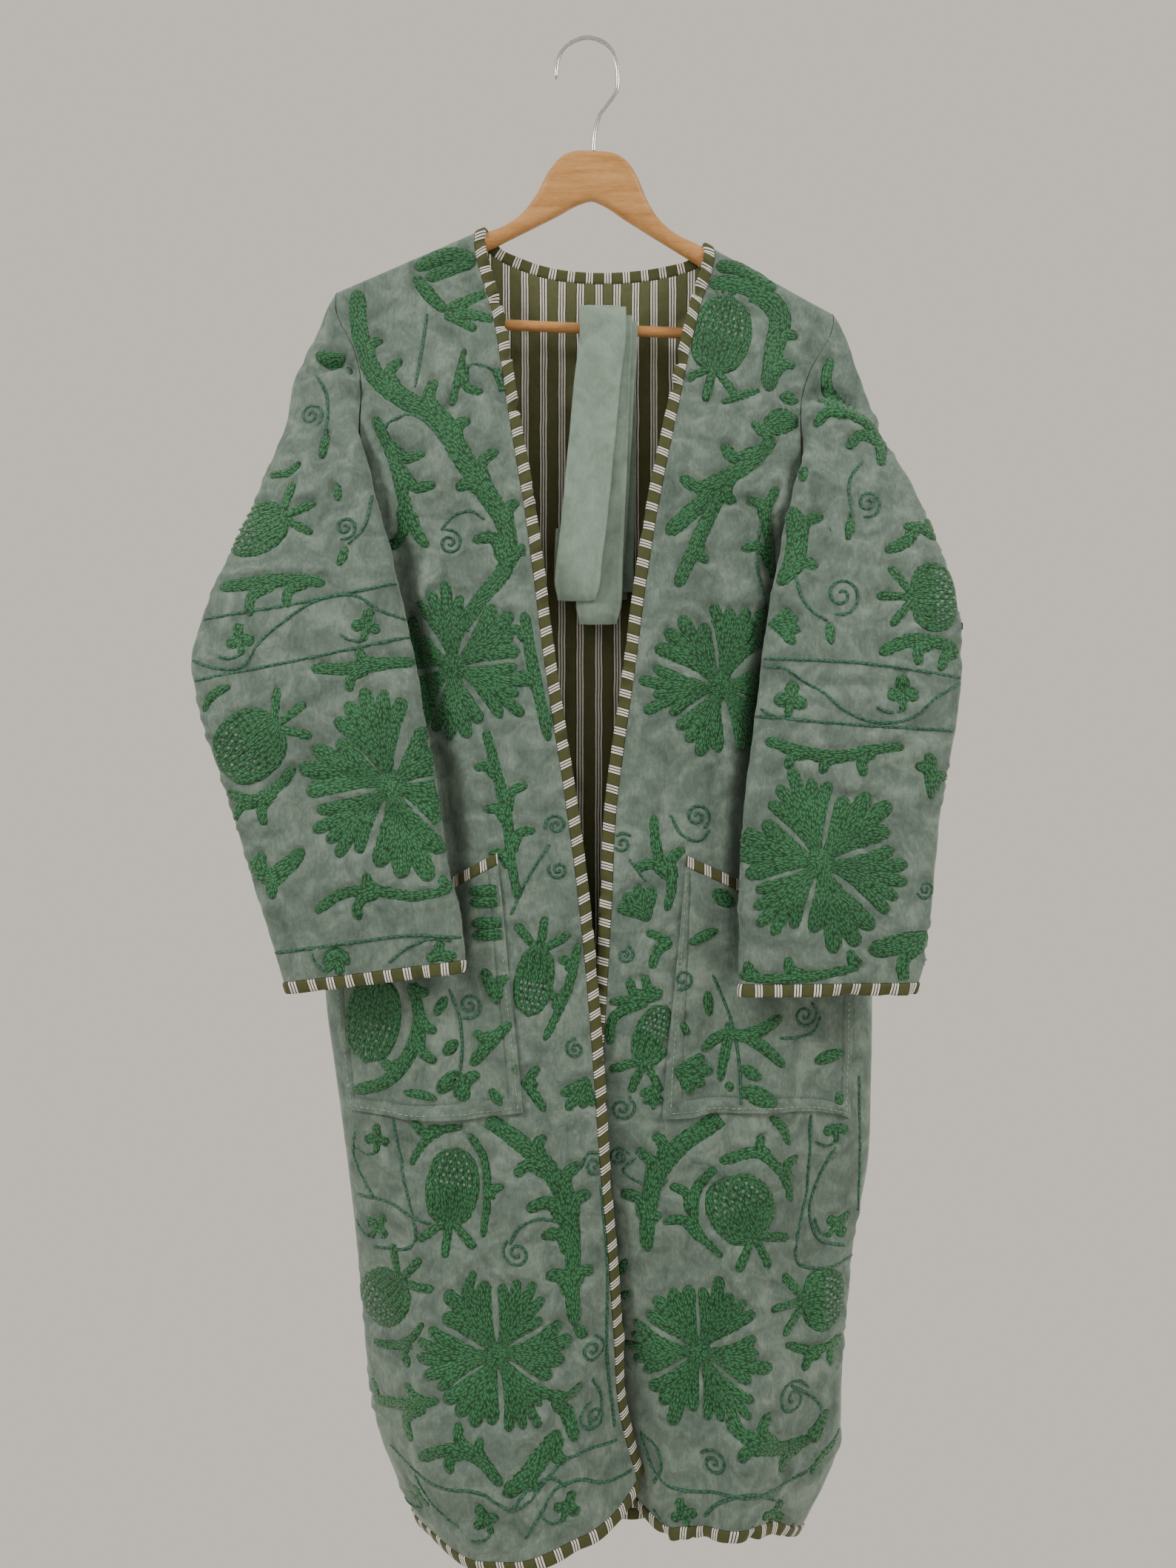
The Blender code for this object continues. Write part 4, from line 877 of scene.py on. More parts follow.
# %% [markdown]
# ## Chain stitch
# The flowers are worked with a hooked needle in rows of small loops, so thick that they stand more
# than a millimetre above the velvet. A motif is made of strokes: a line of a few places with a
# width. Each stroke becomes a low dome with round ends, laid on the creased cloth row by row. A
# displaced panel would need far more faces to give the same crisp borders.

# %% From a place in the photograph to a place on the cloth
def place_of(panel, pixel):
    """Where the line of sight through a pixel of the photograph meets a panel, in mm across and up."""
    aside, down = (pixel[0] - PICTURE[0] / 2) / FOCAL_PIXELS, (pixel[1] - PICTURE[1] / 2) / FOCAL_PIXELS
    sight = Vector((aside, 1, -down))
    start = Vector(EYE) / MM
    place, _, _, _ = trees[panel].ray_cast(start, sight.normalized())
    if place is None:
        place = start + sight * (FRONT_DEPTH - start.y)
    return np.array([place.x, place.z])


print("a rosette is worked round", place_of("front_left", (612, 900)).round(), "mm")

# %% Strokes: places, half widths and heights
STITCH_STEP = 3.3
STITCH_HEIGHT = 1.7
CHAIN_WIDTH = 3.0
CHAIN_HEIGHT = 1.0
END_SHARES = np.array([0.03, 0.16, 0.45])


def smooth_line(places, step):
    """Evenly spaced places on a smooth line through a few."""
    places = np.array(places, dtype=float)
    at = lengths_along(places)
    return resample(places, at, np.linspace(0, at[-1], max(3, int(at[-1] / step) + 1)))


def stroke(places, width, taper=(1, 1, 1), height=STITCH_HEIGHT, kind="stitches", lift=0.0):
    """A raised stroke with round ends, as rows of place, side, half width and height."""
    line = smooth_line(places, STITCH_STEP)
    at = lengths_along(line)
    half = min(width, at[-1]) / 2
    ends = END_SHARES * half
    middle = at[(at > 0.8 * half) & (at < at[-1] - 0.8 * half)]
    wanted = np.concatenate([ends, middle, at[-1] - ends[::-1]])
    line = resample(line, at, wanted)
    ways = unit(np.gradient(line, axis=0))
    sides = np.stack([-ways[:, 1], ways[:, 0]], axis=1)
    to_end = np.clip(np.minimum(wanted, at[-1] - wanted) / half, 0, 1)
    roundness = np.sqrt(1 - (1 - to_end) ** 2)
    halves = width / 2 * np.interp(wanted / at[-1], (0, 0.5, 1), taper) * roundness
    return kind, lift, line, sides, halves, height * (0.4 + 0.6 * roundness)


def chain(places):
    """A thin single line of chain stitch."""
    return stroke(places, CHAIN_WIDTH, height=CHAIN_HEIGHT, kind="chain")


print("a stroke 40 mm long and 10 mm wide has", len(stroke([(0, 0), (40, 0)], 10)[2]), "rows")

# %% [markdown]
# ## The motifs
# These are the stock of the embroiderer: vines with blunt side shoots, rosettes of fan shaped
# petals, pomegranates with a crown, spirals, clovers and serrated leaves. Each is a short function
# that returns strokes, in millimetres on a flat cloth, so that it can be placed anywhere.

# %% Vines, fans and rosettes
def heading(degrees):
    return np.array([math.cos(math.radians(degrees)), math.sin(math.radians(degrees))])


# Stitches stand wider than the line they are worked on
VINE_FULLNESS = 1.08
SHOOT_REACH = 5.0
SHOOT_WIDEST = 11.0
FAN_UNEVENNESS = 0.2
FAN_FALL = 0.13
FAN_BEND, FAN_OPEN = 0.66, 1.16
PETAL_UNEVENNESS = 0.14
# The petals of a rosette spread over this many degrees in all, which leaves gaps between them
PETAL_TURNS = 236


def vine(width, places, tips=()):
    """A thick stem with a blunt shoot to each tip, which leans back towards the stem's start."""
    line = smooth_line(places, 2.0)
    made = [stroke(places, width * VINE_FULLNESS, (0.8, 1, 0.7))]
    shoot = min(SHOOT_WIDEST, 5.0 + 0.4 * width)
    for tip in tips:
        gaps = np.linalg.norm(line - tip, axis=1)
        nearest = int(np.argmin(gaps))
        end = tip + (tip - line[nearest]) / gaps[nearest] * SHOOT_REACH
        root = line[min(nearest + int(0.5 * gaps[nearest]), len(line) - 1)]
        bend = root + (line[nearest] - root) * 0.5 + (end - root) * 0.42
        made.append(stroke([root, bend, end], shoot, (1.7, 1.1, 0.95)))
    return made


def fan(middle, degrees, reach, spread=42, fingers=5):
    """A petal: fingers side by side, narrow at the root, with blunt ends that stand apart."""
    made = []
    for k in range(fingers):
        lean = (k / (fingers - 1) - 0.5) * spread
        uneven = noise.noise(Vector((middle[0] / 7, degrees / 13, k * 1.7)))
        long = reach * (1 + FAN_UNEVENNESS * uneven - FAN_FALL * (2 * lean / spread) ** 2)
        width = reach * math.radians(spread) / (fingers - 1)
        places = [middle + heading(degrees) * reach * 0.08,
                  middle + heading(degrees + FAN_BEND * lean) * long * 0.5,
                  middle + heading(degrees + FAN_OPEN * lean) * long]
        made.append(stroke(places, width, (0.5, 1.1, 0.88), STITCH_HEIGHT * (1 + 0.06 * (k % 2))))
    return made


def rosette(middle, reach, first, petals=6):
    """Petals round a solid heart, with leaf shaped gaps between them, and no two alike."""
    made = []
    for k in range(petals):
        uneven = noise.noise(Vector((middle[0] / 11, middle[1] / 11, k * 2.3)))
        way = first + (k + 0.12 * uneven) * 360 / petals
        spread = (PETAL_TURNS + 24 * uneven) / petals
        made += fan(middle, way, reach * (1 + PETAL_UNEVENNESS * uneven), spread, 4 + (k + 1) % 2)
    for degrees in (0, 60, 120):
        across = heading(degrees + first) * reach * 0.2
        made.append(stroke([middle - across, middle + across], reach * 0.26, height=STITCH_HEIGHT * 1.05))
    return made


print("a rosette is worked in", len(rosette(np.zeros(2), 60, 0)), "strokes")

# %% Pomegranates, spirals and clovers
CROWN_WIDTH = 9.0
SEED_REACH, SEED_WIDTH = 1.4, 2.6
CLOVER_LEAN = 112


def pomegranate(middle, half_width, half_height, crown):
    """A round fruit worked from end to end, with seeds of bare velvet and a crown of three fingers."""
    along, across = heading(crown), heading(crown - 90)
    made = []
    turns = np.linspace(0.06, 0.94, 7) * math.pi
    rows = max(5, 2 * round(half_width / 6.5) + 1)
    for k in np.linspace(-1, 1, rows):
        places = [middle - along * math.cos(t) * half_height * (1 - 0.12 * abs(k))
                  + across * k * 0.86 * half_width * math.sin(t) ** 0.7 for t in turns]
        made.append(stroke(places, 2.6 * half_width / rows, (0.7, 1.08, 0.7)))
    for row in range(5):
        down = -0.78 + 0.17 * row
        seeds = 3 + row
        for k in range(seeds):
            out = ((k + 0.5) / seeds * 2 - 1) * 0.78 * math.sqrt(1 - down * down)
            place = middle + along * down * half_height + across * out * half_width
            ends = [place - along * SEED_REACH, place + along * SEED_REACH]
            made.append(stroke(ends, SEED_WIDTH, height=0.6, kind="seed", lift=STITCH_HEIGHT * 0.9))
    crest = middle + along * half_height * 0.78
    for lean in (-50, 0, 50):
        way = heading(crown + lean)
        made.append(stroke([crest, crest + way * 16, crest + way * (27 + half_width * 0.2)], CROWN_WIDTH,
                           (0.8, 0.9, 1)))
    return made


def spiral(middle, reach, start=0, way=1, turns=1.7):
    """A curled tendril in chain stitch, running in towards its middle."""
    places = []
    for k in range(15):
        share = k / 14
        places.append(middle + heading(start + way * share * turns * 360) * reach * (1 - 0.86 * share ** 0.8))
    return [chain(places)]


def clover(middle, size, degrees):
    """Three round lobes on a stem that curls into a line."""
    made = [stroke([middle, middle + heading(degrees + lean) * size * 1.3], size * 1.25)
            for lean in (-CLOVER_LEAN, 0, CLOVER_LEAN)]
    made.append(stroke([middle, middle - heading(degrees) * size * 1.5], size * 0.8, (0.8, 0.9, 1)))
    curl = [middle - heading(degrees - 10 * k) * size * (1.35 + 0.17 * k) for k in range(7)]
    return made + [chain(curl)]


print("a pomegranate is worked in", len(pomegranate(np.zeros(2), 20, 30, 90)), "strokes")

# %% [markdown]
# ## Where the motifs lie
# Places on the fronts, sleeves and pockets are pixels of the photograph, which a line of sight
# carries onto the cloth. Widths and radii are real millimetres. The back can't be seen, so it has
# the same stock of motifs in a layout of its own, placed in millimetres.

# %% Motifs of the left front
# A line of places is written as x,y pairs. vines: width, places, and for some the tips of shoots.
# lines: places. spirals: middle, reach, start, way. rosettes: middle, reach, first petal.
# pomegranates: middle, half width, half height, crown. fans: middle, direction, reach.
# clovers: middle, size, direction.
MOTIFS = {}
MOTIFS["front_left"] = {
    "vines": [
        (18, "482,391 486,449 507,507 548,540 594,565 623,615 656,665 681,706 681,768 648,810 615,860",
         "509,461 536,490 584,519 627,569 665,611 693,681 623,656 646,727 712,742"),
        (12, "557,714 546,677 536,631 515,582 505,562", "566,614 580,656 572,732 530,736"),
        (12, "553,352 577,395 602,420", "636,441 665,416 656,395"),
        (7, "610,548 615,524 622,495 627,470", "644,528"), (16, "560,362 600,345 644,330"),
        (13, "575,376 612,362 642,354"), (10, "668,496 678,515 684,540"),
        (11, "707,826 716,880 728,940 741,1000", "692,850 702,912 752,960"),
        (10, "655,985 670,1040 684,1100 690,1160 700,1215", "648,1035 704,1062 662,1092 714,1122 "
         "668,1152"),
        (9, "781,1272 770,1324 753,1367 735,1405", "762,1296 748,1345"),
        (8, "554,1573 575,1540 600,1525 624,1522", "562,1520"),
        (8, "633,1531 652,1561 658,1610 652,1671", "672,1604"),
        (16, "640,1500 662,1514 713,1552 752,1595 765,1629 773,1688 773,1748 777,1790", "730,1539 "
         "701,1582 777,1576 718,1630 790,1614 739,1667 745,1722 794,1716"),
        (8, "505,1812 539,1816 560,1803 571,1786", "548,1837"),
        (11, "505,1887 545,1897 592,1890", "552,1876 552,1938"),
        (12, "565,1969 605,1958 645,1970 678,2006", "619,1929 607,1982 647,1950"),
        (17, "680,2020 709,1996 735,1963 756,1932", "757,1971 722,2006"),
        (12, "778,1946 765,1908 746,1888", "779,1874"), (6, "503,1860 505,1900"), (10, "792,1806 776,1790"),
        (9, "640,1716 632,1745 636,1775"), (9, "700,1448 716,1470 736,1500", "722,1446"),
    ],
    "lines": [
        "577,424 570,470 561,524", "615,505 640,492 665,499", "515,582 530,568 556,560 580,575 600,600",
        "655,702 635,690 612,697 596,716", "530,1505 545,1590 556,1682 505,1682",
        "480,1527 478,1560 490,1590 505,1616", "811,1599 820,1705 820,1833 830,1926",
        "474,1627 500,1616 524,1622 552,1640 582,1652",
        "709,2077 732,2040 751,2009 785,1997 810,2001 858,1990",
        "522,1965 577,1999 658,2020 688,2037 773,1965 833,1943", "752,1650 728,1645 704,1655 688,1680",
        "560,1990 585,2030 620,2062", "690,2040 715,2010 745,1995 765,2005",
        "800,1860 812,1885 806,1915 790,1925", "784,1578 796,1556 810,1552", "690,1235 716,1180 742,1140",
    ],
    "spirals": [
        (607, 733, 12, 110, -1), (751, 1114, 10, 200, -1), (754, 1174, 9, 150, 1), (777, 1416, 9, 90, 1),
        (698, 1692, 13, 130, 1), (803, 1573, 11, 90, -1), (800, 1822, 12, 80, -1), (802, 1912, 13, 100, 1),
    ],
    "rosettes": [(612, 900, 66, 96), (671, 1830, 61, 62)],
    "pomegranates": [(721, 1324, 15, 31, 80), (611, 1603, 22, 34, -96), (518, 1752, 22, 28, 50)],
    "fans": [(790, 1462, 250, 24)],
    "clovers": [
        (509, 1535, 9, 90), (511, 1654, 9, 60), (565, 2020, 8, 100), (654, 2050, 9, 120),
        (767, 2033, 9, 70),
    ],
}
print("the left front has", len(MOTIFS["front_left"]["vines"]), "vines")

# %% Motifs of the right front
MOTIFS["front_right"] = {
    "vines": [
        (20, "958,382 995,386 1030,400 1052,424 1046,470 1037,528", "1070,452 1066,492"),
        (8, "975,543 1000,534 1026,526"), (15, "972,338 1000,362 1046,392", "1046,366 1000,338"),
        (13, "1053,534 1084,530"), (22, "1032,580 1060,568 1086,560"),
        (16, "900,720 935,690 975,650 1015,622 1046,590", "980,606 925,648 1022,574"),
        (13, "914,792 938,740 960,690 985,650 1012,622", "986,674 950,754"),
        (10, "1050,656 1035,690 1040,740 1043,781", "1018,677 1010,739"),
        (10, "882,1100 889,1153 907,1191 900,1230", "866,1170 918,1150"),
        (8, "872,1258 890,1265 905,1268", "882,1300"),
        (9, "823,1353 860,1350 893,1346", "851,1328 872,1324 823,1402"), (9, "924,1372 926,1400"),
        (17, "985,1500 963,1516 915,1550 886,1590 876,1633 873,1690", "888,1536 866,1556 894,1594 "
         "846,1612 886,1642"),
        (10, "971,1568 1022,1557 1057,1586 1069,1622", "1027,1540 1071,1566"),
        (10, "966,1576 939,1612 940,1660 975,1698", "912,1603 904,1648"), (13, "846,1935 842,1975"),
        (9, "1040,1508 1056,1522 1066,1546"), (9, "1061,1816 1095,1824 1137,1802", "1088,1843 1122,1836"),
        (14, "980,1918 1010,1942 1052,1956 1094,1946", "1036,1916 1003,1968 1057,1980 1114,1912"),
        (8, "1095,1990 1110,1966 1128,1945"), (7, "836,1720 846,1700"), (7, "838,1752 850,1744"),
    ],
    "lines": [
        "1095,1505 1090,1600 1080,1707 1150,1692", "1160,1452 1161,1550 1158,1632",
        "1128,1548 1104,1592 1093,1640 1105,1672 1140,1680",
        "865,1931 875,1965 886,1990 925,2011 980,2018 1035,2016 1090,1985 1133,1926",
        "882,2037 908,2067 1000,2078 1078,2071", "950,2045 978,2026 1012,2018 1052,2024",
        "882,2002 893,1976 884,1950 868,1936", "905,1100 922,1128 945,1135 958,1120",
        "1030,690 1022,760 1034,820", "850,1160 872,1190", "858,1562 842,1580 870,1600",
        "1068,1870 1108,1900 1104,1935",
    ],
    "spirals": [
        (840, 1139, 10, 40, 1), (941, 1102, 12, 300, 1), (844, 1289, 8, 80, -1), (840, 1496, 12, 60, -1),
        (836, 1562, 9, 20, 1), (1071, 1888, 16, 20, 1), (963, 1975, 12, 150, -1),
    ],
    "rosettes": [(973, 926, 66, 68), (944, 1826, 60, 60)],
    "pomegranates": [
        (974, 452, 26, 38, -104), (883, 1398, 15, 28, -112), (1001, 1633, 29, 30, -64),
        (1113, 1755, 27, 20, 180),
    ],
    "fans": [(872, 1236, 120, 26), (884, 1470, 250, 16)],
    "clovers": [(1129, 1522, 9, 90), (1133, 1652, 10, 40), (922, 2041, 9, 110), (1046, 2043, 9, 60)],
}
print("the right front has", len(MOTIFS["front_right"]["vines"]), "vines")

# %% Motifs of the sleeves
MOTIFS["sleeve_left"] = {
    "vines": [
        (14, "426,478 448,486 466,480"), (12, "464,398 478,425 486,450"), (8, "441,585 434,619"),
        (8, "364,642 388,638 405,623"), (8, "456,676 455,652"), (8, "468,738 457,764"),
        (13, "296,793 340,788 400,782 439,787", "337,824 387,812"),
        (12, "420,902 470,903 520,896 564,896", "472,926 486,880"), (8, "275,961 285,940 311,926"),
        (11, "306,1070 346,1080 375,1062 398,1035", "355,1106 318,1100"),
        (15, "336,1164 362,1184 390,1168 410,1146", "366,1206 352,1158"),
        (10, "426,1232 455,1210 495,1202 560,1210 610,1200", "495,1186 598,1190 483,1234"),
        (12, "437,1302 455,1288 472,1302"), (10, "583,1285 600,1290 617,1290"),
    ],
    "lines": [
        "428,507 440,530 443,557 440,590", "470,735 490,715 503,669", "275,837 400,815 536,789",
        "261,919 400,892 556,863",
        "260,892 290,902 327,900 353,865 385,838 418,815 450,805 480,804 510,823 549,838",
        "372,1286 480,1272 560,1263 627,1261", "525,1300 550,1280 580,1268 610,1270",
    ],
    "spirals": [(420, 561, 12, 300, 1), (466, 712, 11, 250, 1)],
    "rosettes": [(527, 1060, 74, 102)],
    "pomegranates": [(345, 714, 23, 31, 22), (336, 1007, 31, 34, 36)],
    "clovers": [(323, 861, 10, 100), (495, 842, 10, 80), (455, 1298, 9, 40), (594, 1290, 9, 90)],
}
MOTIFS["sleeve_right"] = {
    "vines": [
        (14, "1080,410 1100,420 1116,442"),
        (12, "1105,540 1140,552 1170,570 1190,594", "1120,490 1105,569 1149,600 1190,622"),
        (9, "1150,698 1145,729"), (11, "1077,620 1082,636 1085,650"),
        (19, "1067,685 1076,720 1072,758 1052,790", "1104,698 1097,762"), (9, "1120,840 1123,870"),
        (12, "1196,744 1225,730 1240,712 1264,728", "1228,712 1254,706"),
        (13, "1187,882 1225,866 1260,866 1294,878", "1240,890 1272,898"),
        (11, "1034,999 1080,1014 1130,1022 1180,1012 1221,1008", "1065,1030 1112,1037 1165,1040"),
        (13, "1254,1016 1258,1046 1258,1078", "1244,1034 1274,1048"),
        (18, "1173,1284 1215,1275 1254,1262", "1221,1326"),
        (10, "998,1317 1050,1322 1110,1316 1160,1306", "1065,1300 1150,1290 1010,1306"),
    ],
    "lines": [
        "1165,623 1149,644 1149,698", "1072,760 1076,785 1082,806 1100,828 1118,838",
        "1032,890 1160,895 1298,915", "1019,968 1150,978 1288,987",
        "1032,901 1053,901 1088,922 1107,932 1137,957 1191,976 1233,968 1264,942 1298,922",
    ],
    "spirals": [(1172, 679, 13, 250, 1), (1136, 803, 18, 250, 1), (1250, 1200, 9, 200, 1)],
    "rosettes": [(1108, 1165, 73, 106)],
    "pomegranates": [(1262, 806, 31, 22, 180)],
    "fans": [(1046, 843, 0, 22)],
    "clovers": [(1068, 942, 11, 80), (1218, 934, 11, 90)],
}
for panel in ("sleeve_left", "sleeve_right"):
    print(panel, "has", len(MOTIFS[panel]["vines"]), "vines")

# %% Motifs of the pockets
MOTIFS["pocket_left"] = {
    "vines": [
        (11, "633,1204 682,1200"), (11, "634,1219 684,1215"), (11, "637,1247 690,1243"),
        (11, "638,1263 690,1259"),
        (13, "479,1472 526,1457 556,1416 565,1365 553,1328", "582,1430 582,1390 572,1340 520,1436"),
        (10, "588,1371 603,1345"), (12, "599,1424 618,1404"),
        (12, "636,1438 660,1410 690,1380", "646,1398"), (12, "652,1308 664,1334 672,1356", "682,1322"),
        (15, "590,1474 616,1456 622,1486", "640,1452"), (8, "545,1475 570,1478 590,1484"),
        (10, "661,1470 677,1492"), (9, "698,1412 708,1418"), (9, "692,1440 708,1442"),
    ],
    "lines": ["607,1335 620,1372 624,1412 622,1446"],
    "spirals": [(634, 1357, 12, 240, 1)],
    "pomegranates": [(503, 1376, 25, 39, 80)],
}
MOTIFS["pocket_right"] = {
    "vines": [
        (12, "1056,1372 1020,1394 990,1396 982,1380"), (10, "988,1392 966,1402 948,1419"),
        (11, "992,1392 1028,1412 1060,1440"), (9, "986,1392 978,1425 972,1460"),
        (12, "1001,1440 1028,1457"), (17, "1001,1470 1050,1491"), (9, "984,1460 986,1474"),
        (12, "1100,1433 1140,1420"), (10, "931,1274 969,1255"), (15, "962,1203 992,1222"),
        (9, "955,1338 958,1372"), (9, "1131,1474 1136,1492"), (8, "920,1380 930,1398"),
    ],
    "lines": ["962,1316 975,1345 987,1377 998,1435 1001,1493", "1108,1372 1100,1392 1080,1400 1053,1402"],
    "spirals": [(1087, 1371, 12, 60, -1), (922, 1322, 13, 100, 1)],
    "fans": [(918, 1446, -15, 26)],
}
for panel in ("pocket_left", "pocket_right"):
    print(panel, "has", len(MOTIFS[panel]["vines"]), "vines")

# %% Motifs of the back
BACK_MOTIFS = {
    "vines": [
        (17, "-6,-300 -58,-352 -66,-430 -14,-500 44,-570 58,-650 6,-735 -50,-800 -62,-890 -8,-965 "
         "46,-1030 52,-1090", "-30,-300 -88,-372 -36,-388 -94,-440 -40,-470 -10,-540 46,-532 30,-600 "
         "86,-620 30,-672 84,-690 -18,-700 -22,-800 -82,-820 -34,-868 -90,-900 -44,-950 18,-948 10,-1010 "
         "74,-1010 24,-1070 80,-1080"),
        (10, "-150,-300 -168,-350 -160,-396", "-190,-336 -140,-356"),
        (10, "140,-290 164,-330 168,-390", "186,-330 142,-366"),
        (9, "-185,-640 -160,-600 -120,-590", "-150,-572 -176,-612"),
        (9, "186,-800 160,-770 120,-762", "150,-742 178,-790"),
        (10, "-180,-1010 -140,-1040 -96,-1034", "-150,-1012 -130,-1066"),
        (10, "180,-1040 140,-1066 100,-1056", "150,-1040 134,-1092"),
        (8, "96,-440 110,-400 100,-350", "124,-420 84,-392"),
        (12, "-196,-560 -176,-600 -190,-660", "-158,-590 -204,-620 -166,-640"),
        (12, "196,-610 180,-650 200,-700", "160,-640 212,-664"),
        (12, "-40,-580 -74,-610 -92,-660", "-56,-640 -100,-620"),
        (12, "80,-470 52,-440 60,-400", "32,-430 76,-420"),
        (13, "-150,-840 -180,-800 -210,-812", "-166,-770 -196,-836"),
        (13, "56,-860 96,-838 150,-820", "84,-806 118,-868 136,-796"),
        (13, "150,-980 186,-950 214,-964", "176,-916 196,-994"),
        (12, "-120,-1090 -80,-1118 -40,-1116", "-96,-1080 -64,-1142"),
        (12, "-210,-1100 -180,-1070 -150,-1086", "-186,-1040 -176,-1110"),
        (14, "-110,-250 -80,-276 -40,-272", "-88,-246 -62,-300"),
        (14, "60,-262 96,-276 140,-258", "88,-248 112,-304"), (10, "0,-560 -20,-600 0,-650", "-40,-590"),
    ],
    "lines": [
        "-206,-1148 -120,-1142 0,-1146 120,-1140 206,-1146",
        "-206,-1222 -120,-1216 0,-1220 120,-1216 206,-1220",
        "-206,-1190 -160,-1164 -110,-1190 -60,-1206 -10,-1180 40,-1164 90,-1190 140,-1206 200,-1180",
        "-196,-470 -206,-600 -210,-760 -208,-900", "196,-480 206,-620 210,-780 208,-900",
    ],
    "spirals": [
        (20, -400, 14, 200, 1), (-20, -620, 13, 20, -1), (10, -850, 14, 160, 1), (104, -680, 11, 60, 1),
        (-110, -930, 12, 120, -1), (-130, -270, 11, 0, 1), (120, -1100, 11, 90, 1),
    ],
    "rosettes": [(-128, -505, 62, 80), (128, -560, 64, 100), (-128, -745, 64, 70), (120, -905, 62, 95)],
    "pomegranates": [
        (60, -330, 22, 30, 60), (-96, -330, 20, 28, 120), (0, -1100, 20, 26, 90), (186, -700, 18, 26, 200),
        (-60, -1070, 19, 26, 100), (-170, -890, 23, 29, -60), (40, -790, 20, 27, 30),
        (180, -860, 22, 28, 120), (-30, -420, 18, 24, 100),
    ],
    "fans": [(-180, -430, 200, 30), (182, -460, -20, 30)],
    "clovers": [
        (-170, -1186, 9, 90), (-84, -1176, 9, 80), (16, -1190, 9, 100), (112, -1178, 9, 90),
        (182, -1188, 9, 80),
    ],
}

# %% Draw a table of motifs
def small_fan(middle, degrees, reach):
    """A fan of four fingers, given by the middle of its leaf."""
    return fan(middle - heading(degrees) * reach * 0.3, degrees, reach * 1.3, spread=62, fingers=4)


MOTIF_KINDS = {"spirals": spiral, "rosettes": rosette, "pomegranates": pomegranate, "clovers": clover,
               "fans": small_fan}


def draw(table, place):
    """All strokes of a table of motifs, with a function that places its places."""
    made = []
    for width, *lines in table["vines"]:
        made += vine(width, *([place(p) for p in places_of(line)] for line in lines))
    made += [chain([place(p) for p in places_of(line)]) for line in table["lines"]]
    for name, kind in MOTIF_KINDS.items():
        for x, y, *sizes in table.get(name, ()):
            made += kind(place((x, y)), *sizes)
    return made


print("the back's table gives", len(draw(BACK_MOTIFS, np.array)), "strokes")

# %% Plan the stitches of every panel
def plan_of(panel):
    """The strokes of a panel that the photograph shows."""
    return draw(MOTIFS[panel], lambda pixel: place_of(panel, pixel))


HIDDEN_SHIFT = (6.0, -12.0)
plans = {(panel, True): plan_of(panel) for panel in MOTIFS if not panel.startswith("pocket")}
for panel in ("sleeve_left", "sleeve_right"):
    shifted = draw(MOTIFS[panel], lambda pixel: place_of(panel, pixel) + HIDDEN_SHIFT)
    plans[(panel, False)] = shifted
plans[("back", False)] = draw(BACK_MOTIFS, lambda place: np.array(place, dtype=float))
for (panel, from_front), strokes in plans.items():
    print(panel, "front" if from_front else "back", "has", len(strokes), "strokes")

# %% [markdown]
# ## How stitches pull the cloth
# Dense chain stitch draws the velvet in. Under a motif the cloth sinks a little, and beside it the
# spare cloth puffs up, most in the narrow gaps between petals. So the distance from each place of
# the net to the nearest stroke tells how far that place rises.

# %% Sink the cloth under the stitches and puff it beside them
PUFF_REACH = 9.0
PUFF_HEIGHT = 2.1
SINK = 1.0


def puff_heights(x, z, strokes, seed):
    """How far each place of a net rises between the strokes, in mm."""
    worked = [(place, half) for kind, _, line, _, halves, _ in strokes if kind == "stitches"
              for place, half in zip(line, halves)]
    tree = KDTree(len(worked))
    for i, (place, _) in enumerate(worked):
        tree.insert((place[0], place[1], 0), i)
    tree.balance()
    rises = []
    for a, b in zip(x.ravel(), z.ravel()):
        gap = min(far - worked[i][1] for _, i, far in tree.find_n((a, b, 0), 5))
        share = min(max(gap / PUFF_REACH, 0), 1)
        uneven = 1 + 0.8 * noise.noise(Vector((a / 9, b / 9, seed)))
        near = math.sin(share * math.pi) * 0.9 + 0.25 * share
        rises.append(PUFF_HEIGHT * near * uneven - SINK * max(0.0, 1 - max(gap, 0) / 2.5))
    return np.array(rises).reshape(x.shape)


for name, (points, normals) in nets.items():
    rise = np.zeros(points.shape[:2])
    for from_front in (True, False):
        if (name, from_front) in plans:
            facing = 1.0 if not name.startswith("sleeve") else np.clip(
                (-1 if from_front else 1) * normals[..., 1] * 1.5, 0, 1)
            rise += facing * puff_heights(points[..., 0], points[..., 2], plans[(name, from_front)], 3.1)
    rise *= border_fade(points, 6)
    if not name.startswith("sleeve"):
        rise *= np.clip((-points[..., 2] - (-points[..., 2]).min(axis=0)) / 20, 0, 1)
    nets[name][0] = points + normals * rise[..., None]
    print(name, "rises by up to", round(float(rise.max()), 1), "mm beside the stitches")
trees = {name: tree_of(net) for name, (net, _) in nets.items()}

# %% [markdown]
# ## Cloth with two faces
# A garment piece is velvet outside and lining inside, so one closed shell carries both: a grid
# for each face, a bridge round their borders, and two materials. The bridge is velvet, as cloth is
# at a turned-in edge. The thickness runs along the net's own directions, which are square to the
# neighbours at the seams.

# %% Closed shells of cloth
def paint_here(name):
    """A material by name, made now and given its finish near the end."""
    return bpy.data.materials.get(name) or bpy.data.materials.new(name)


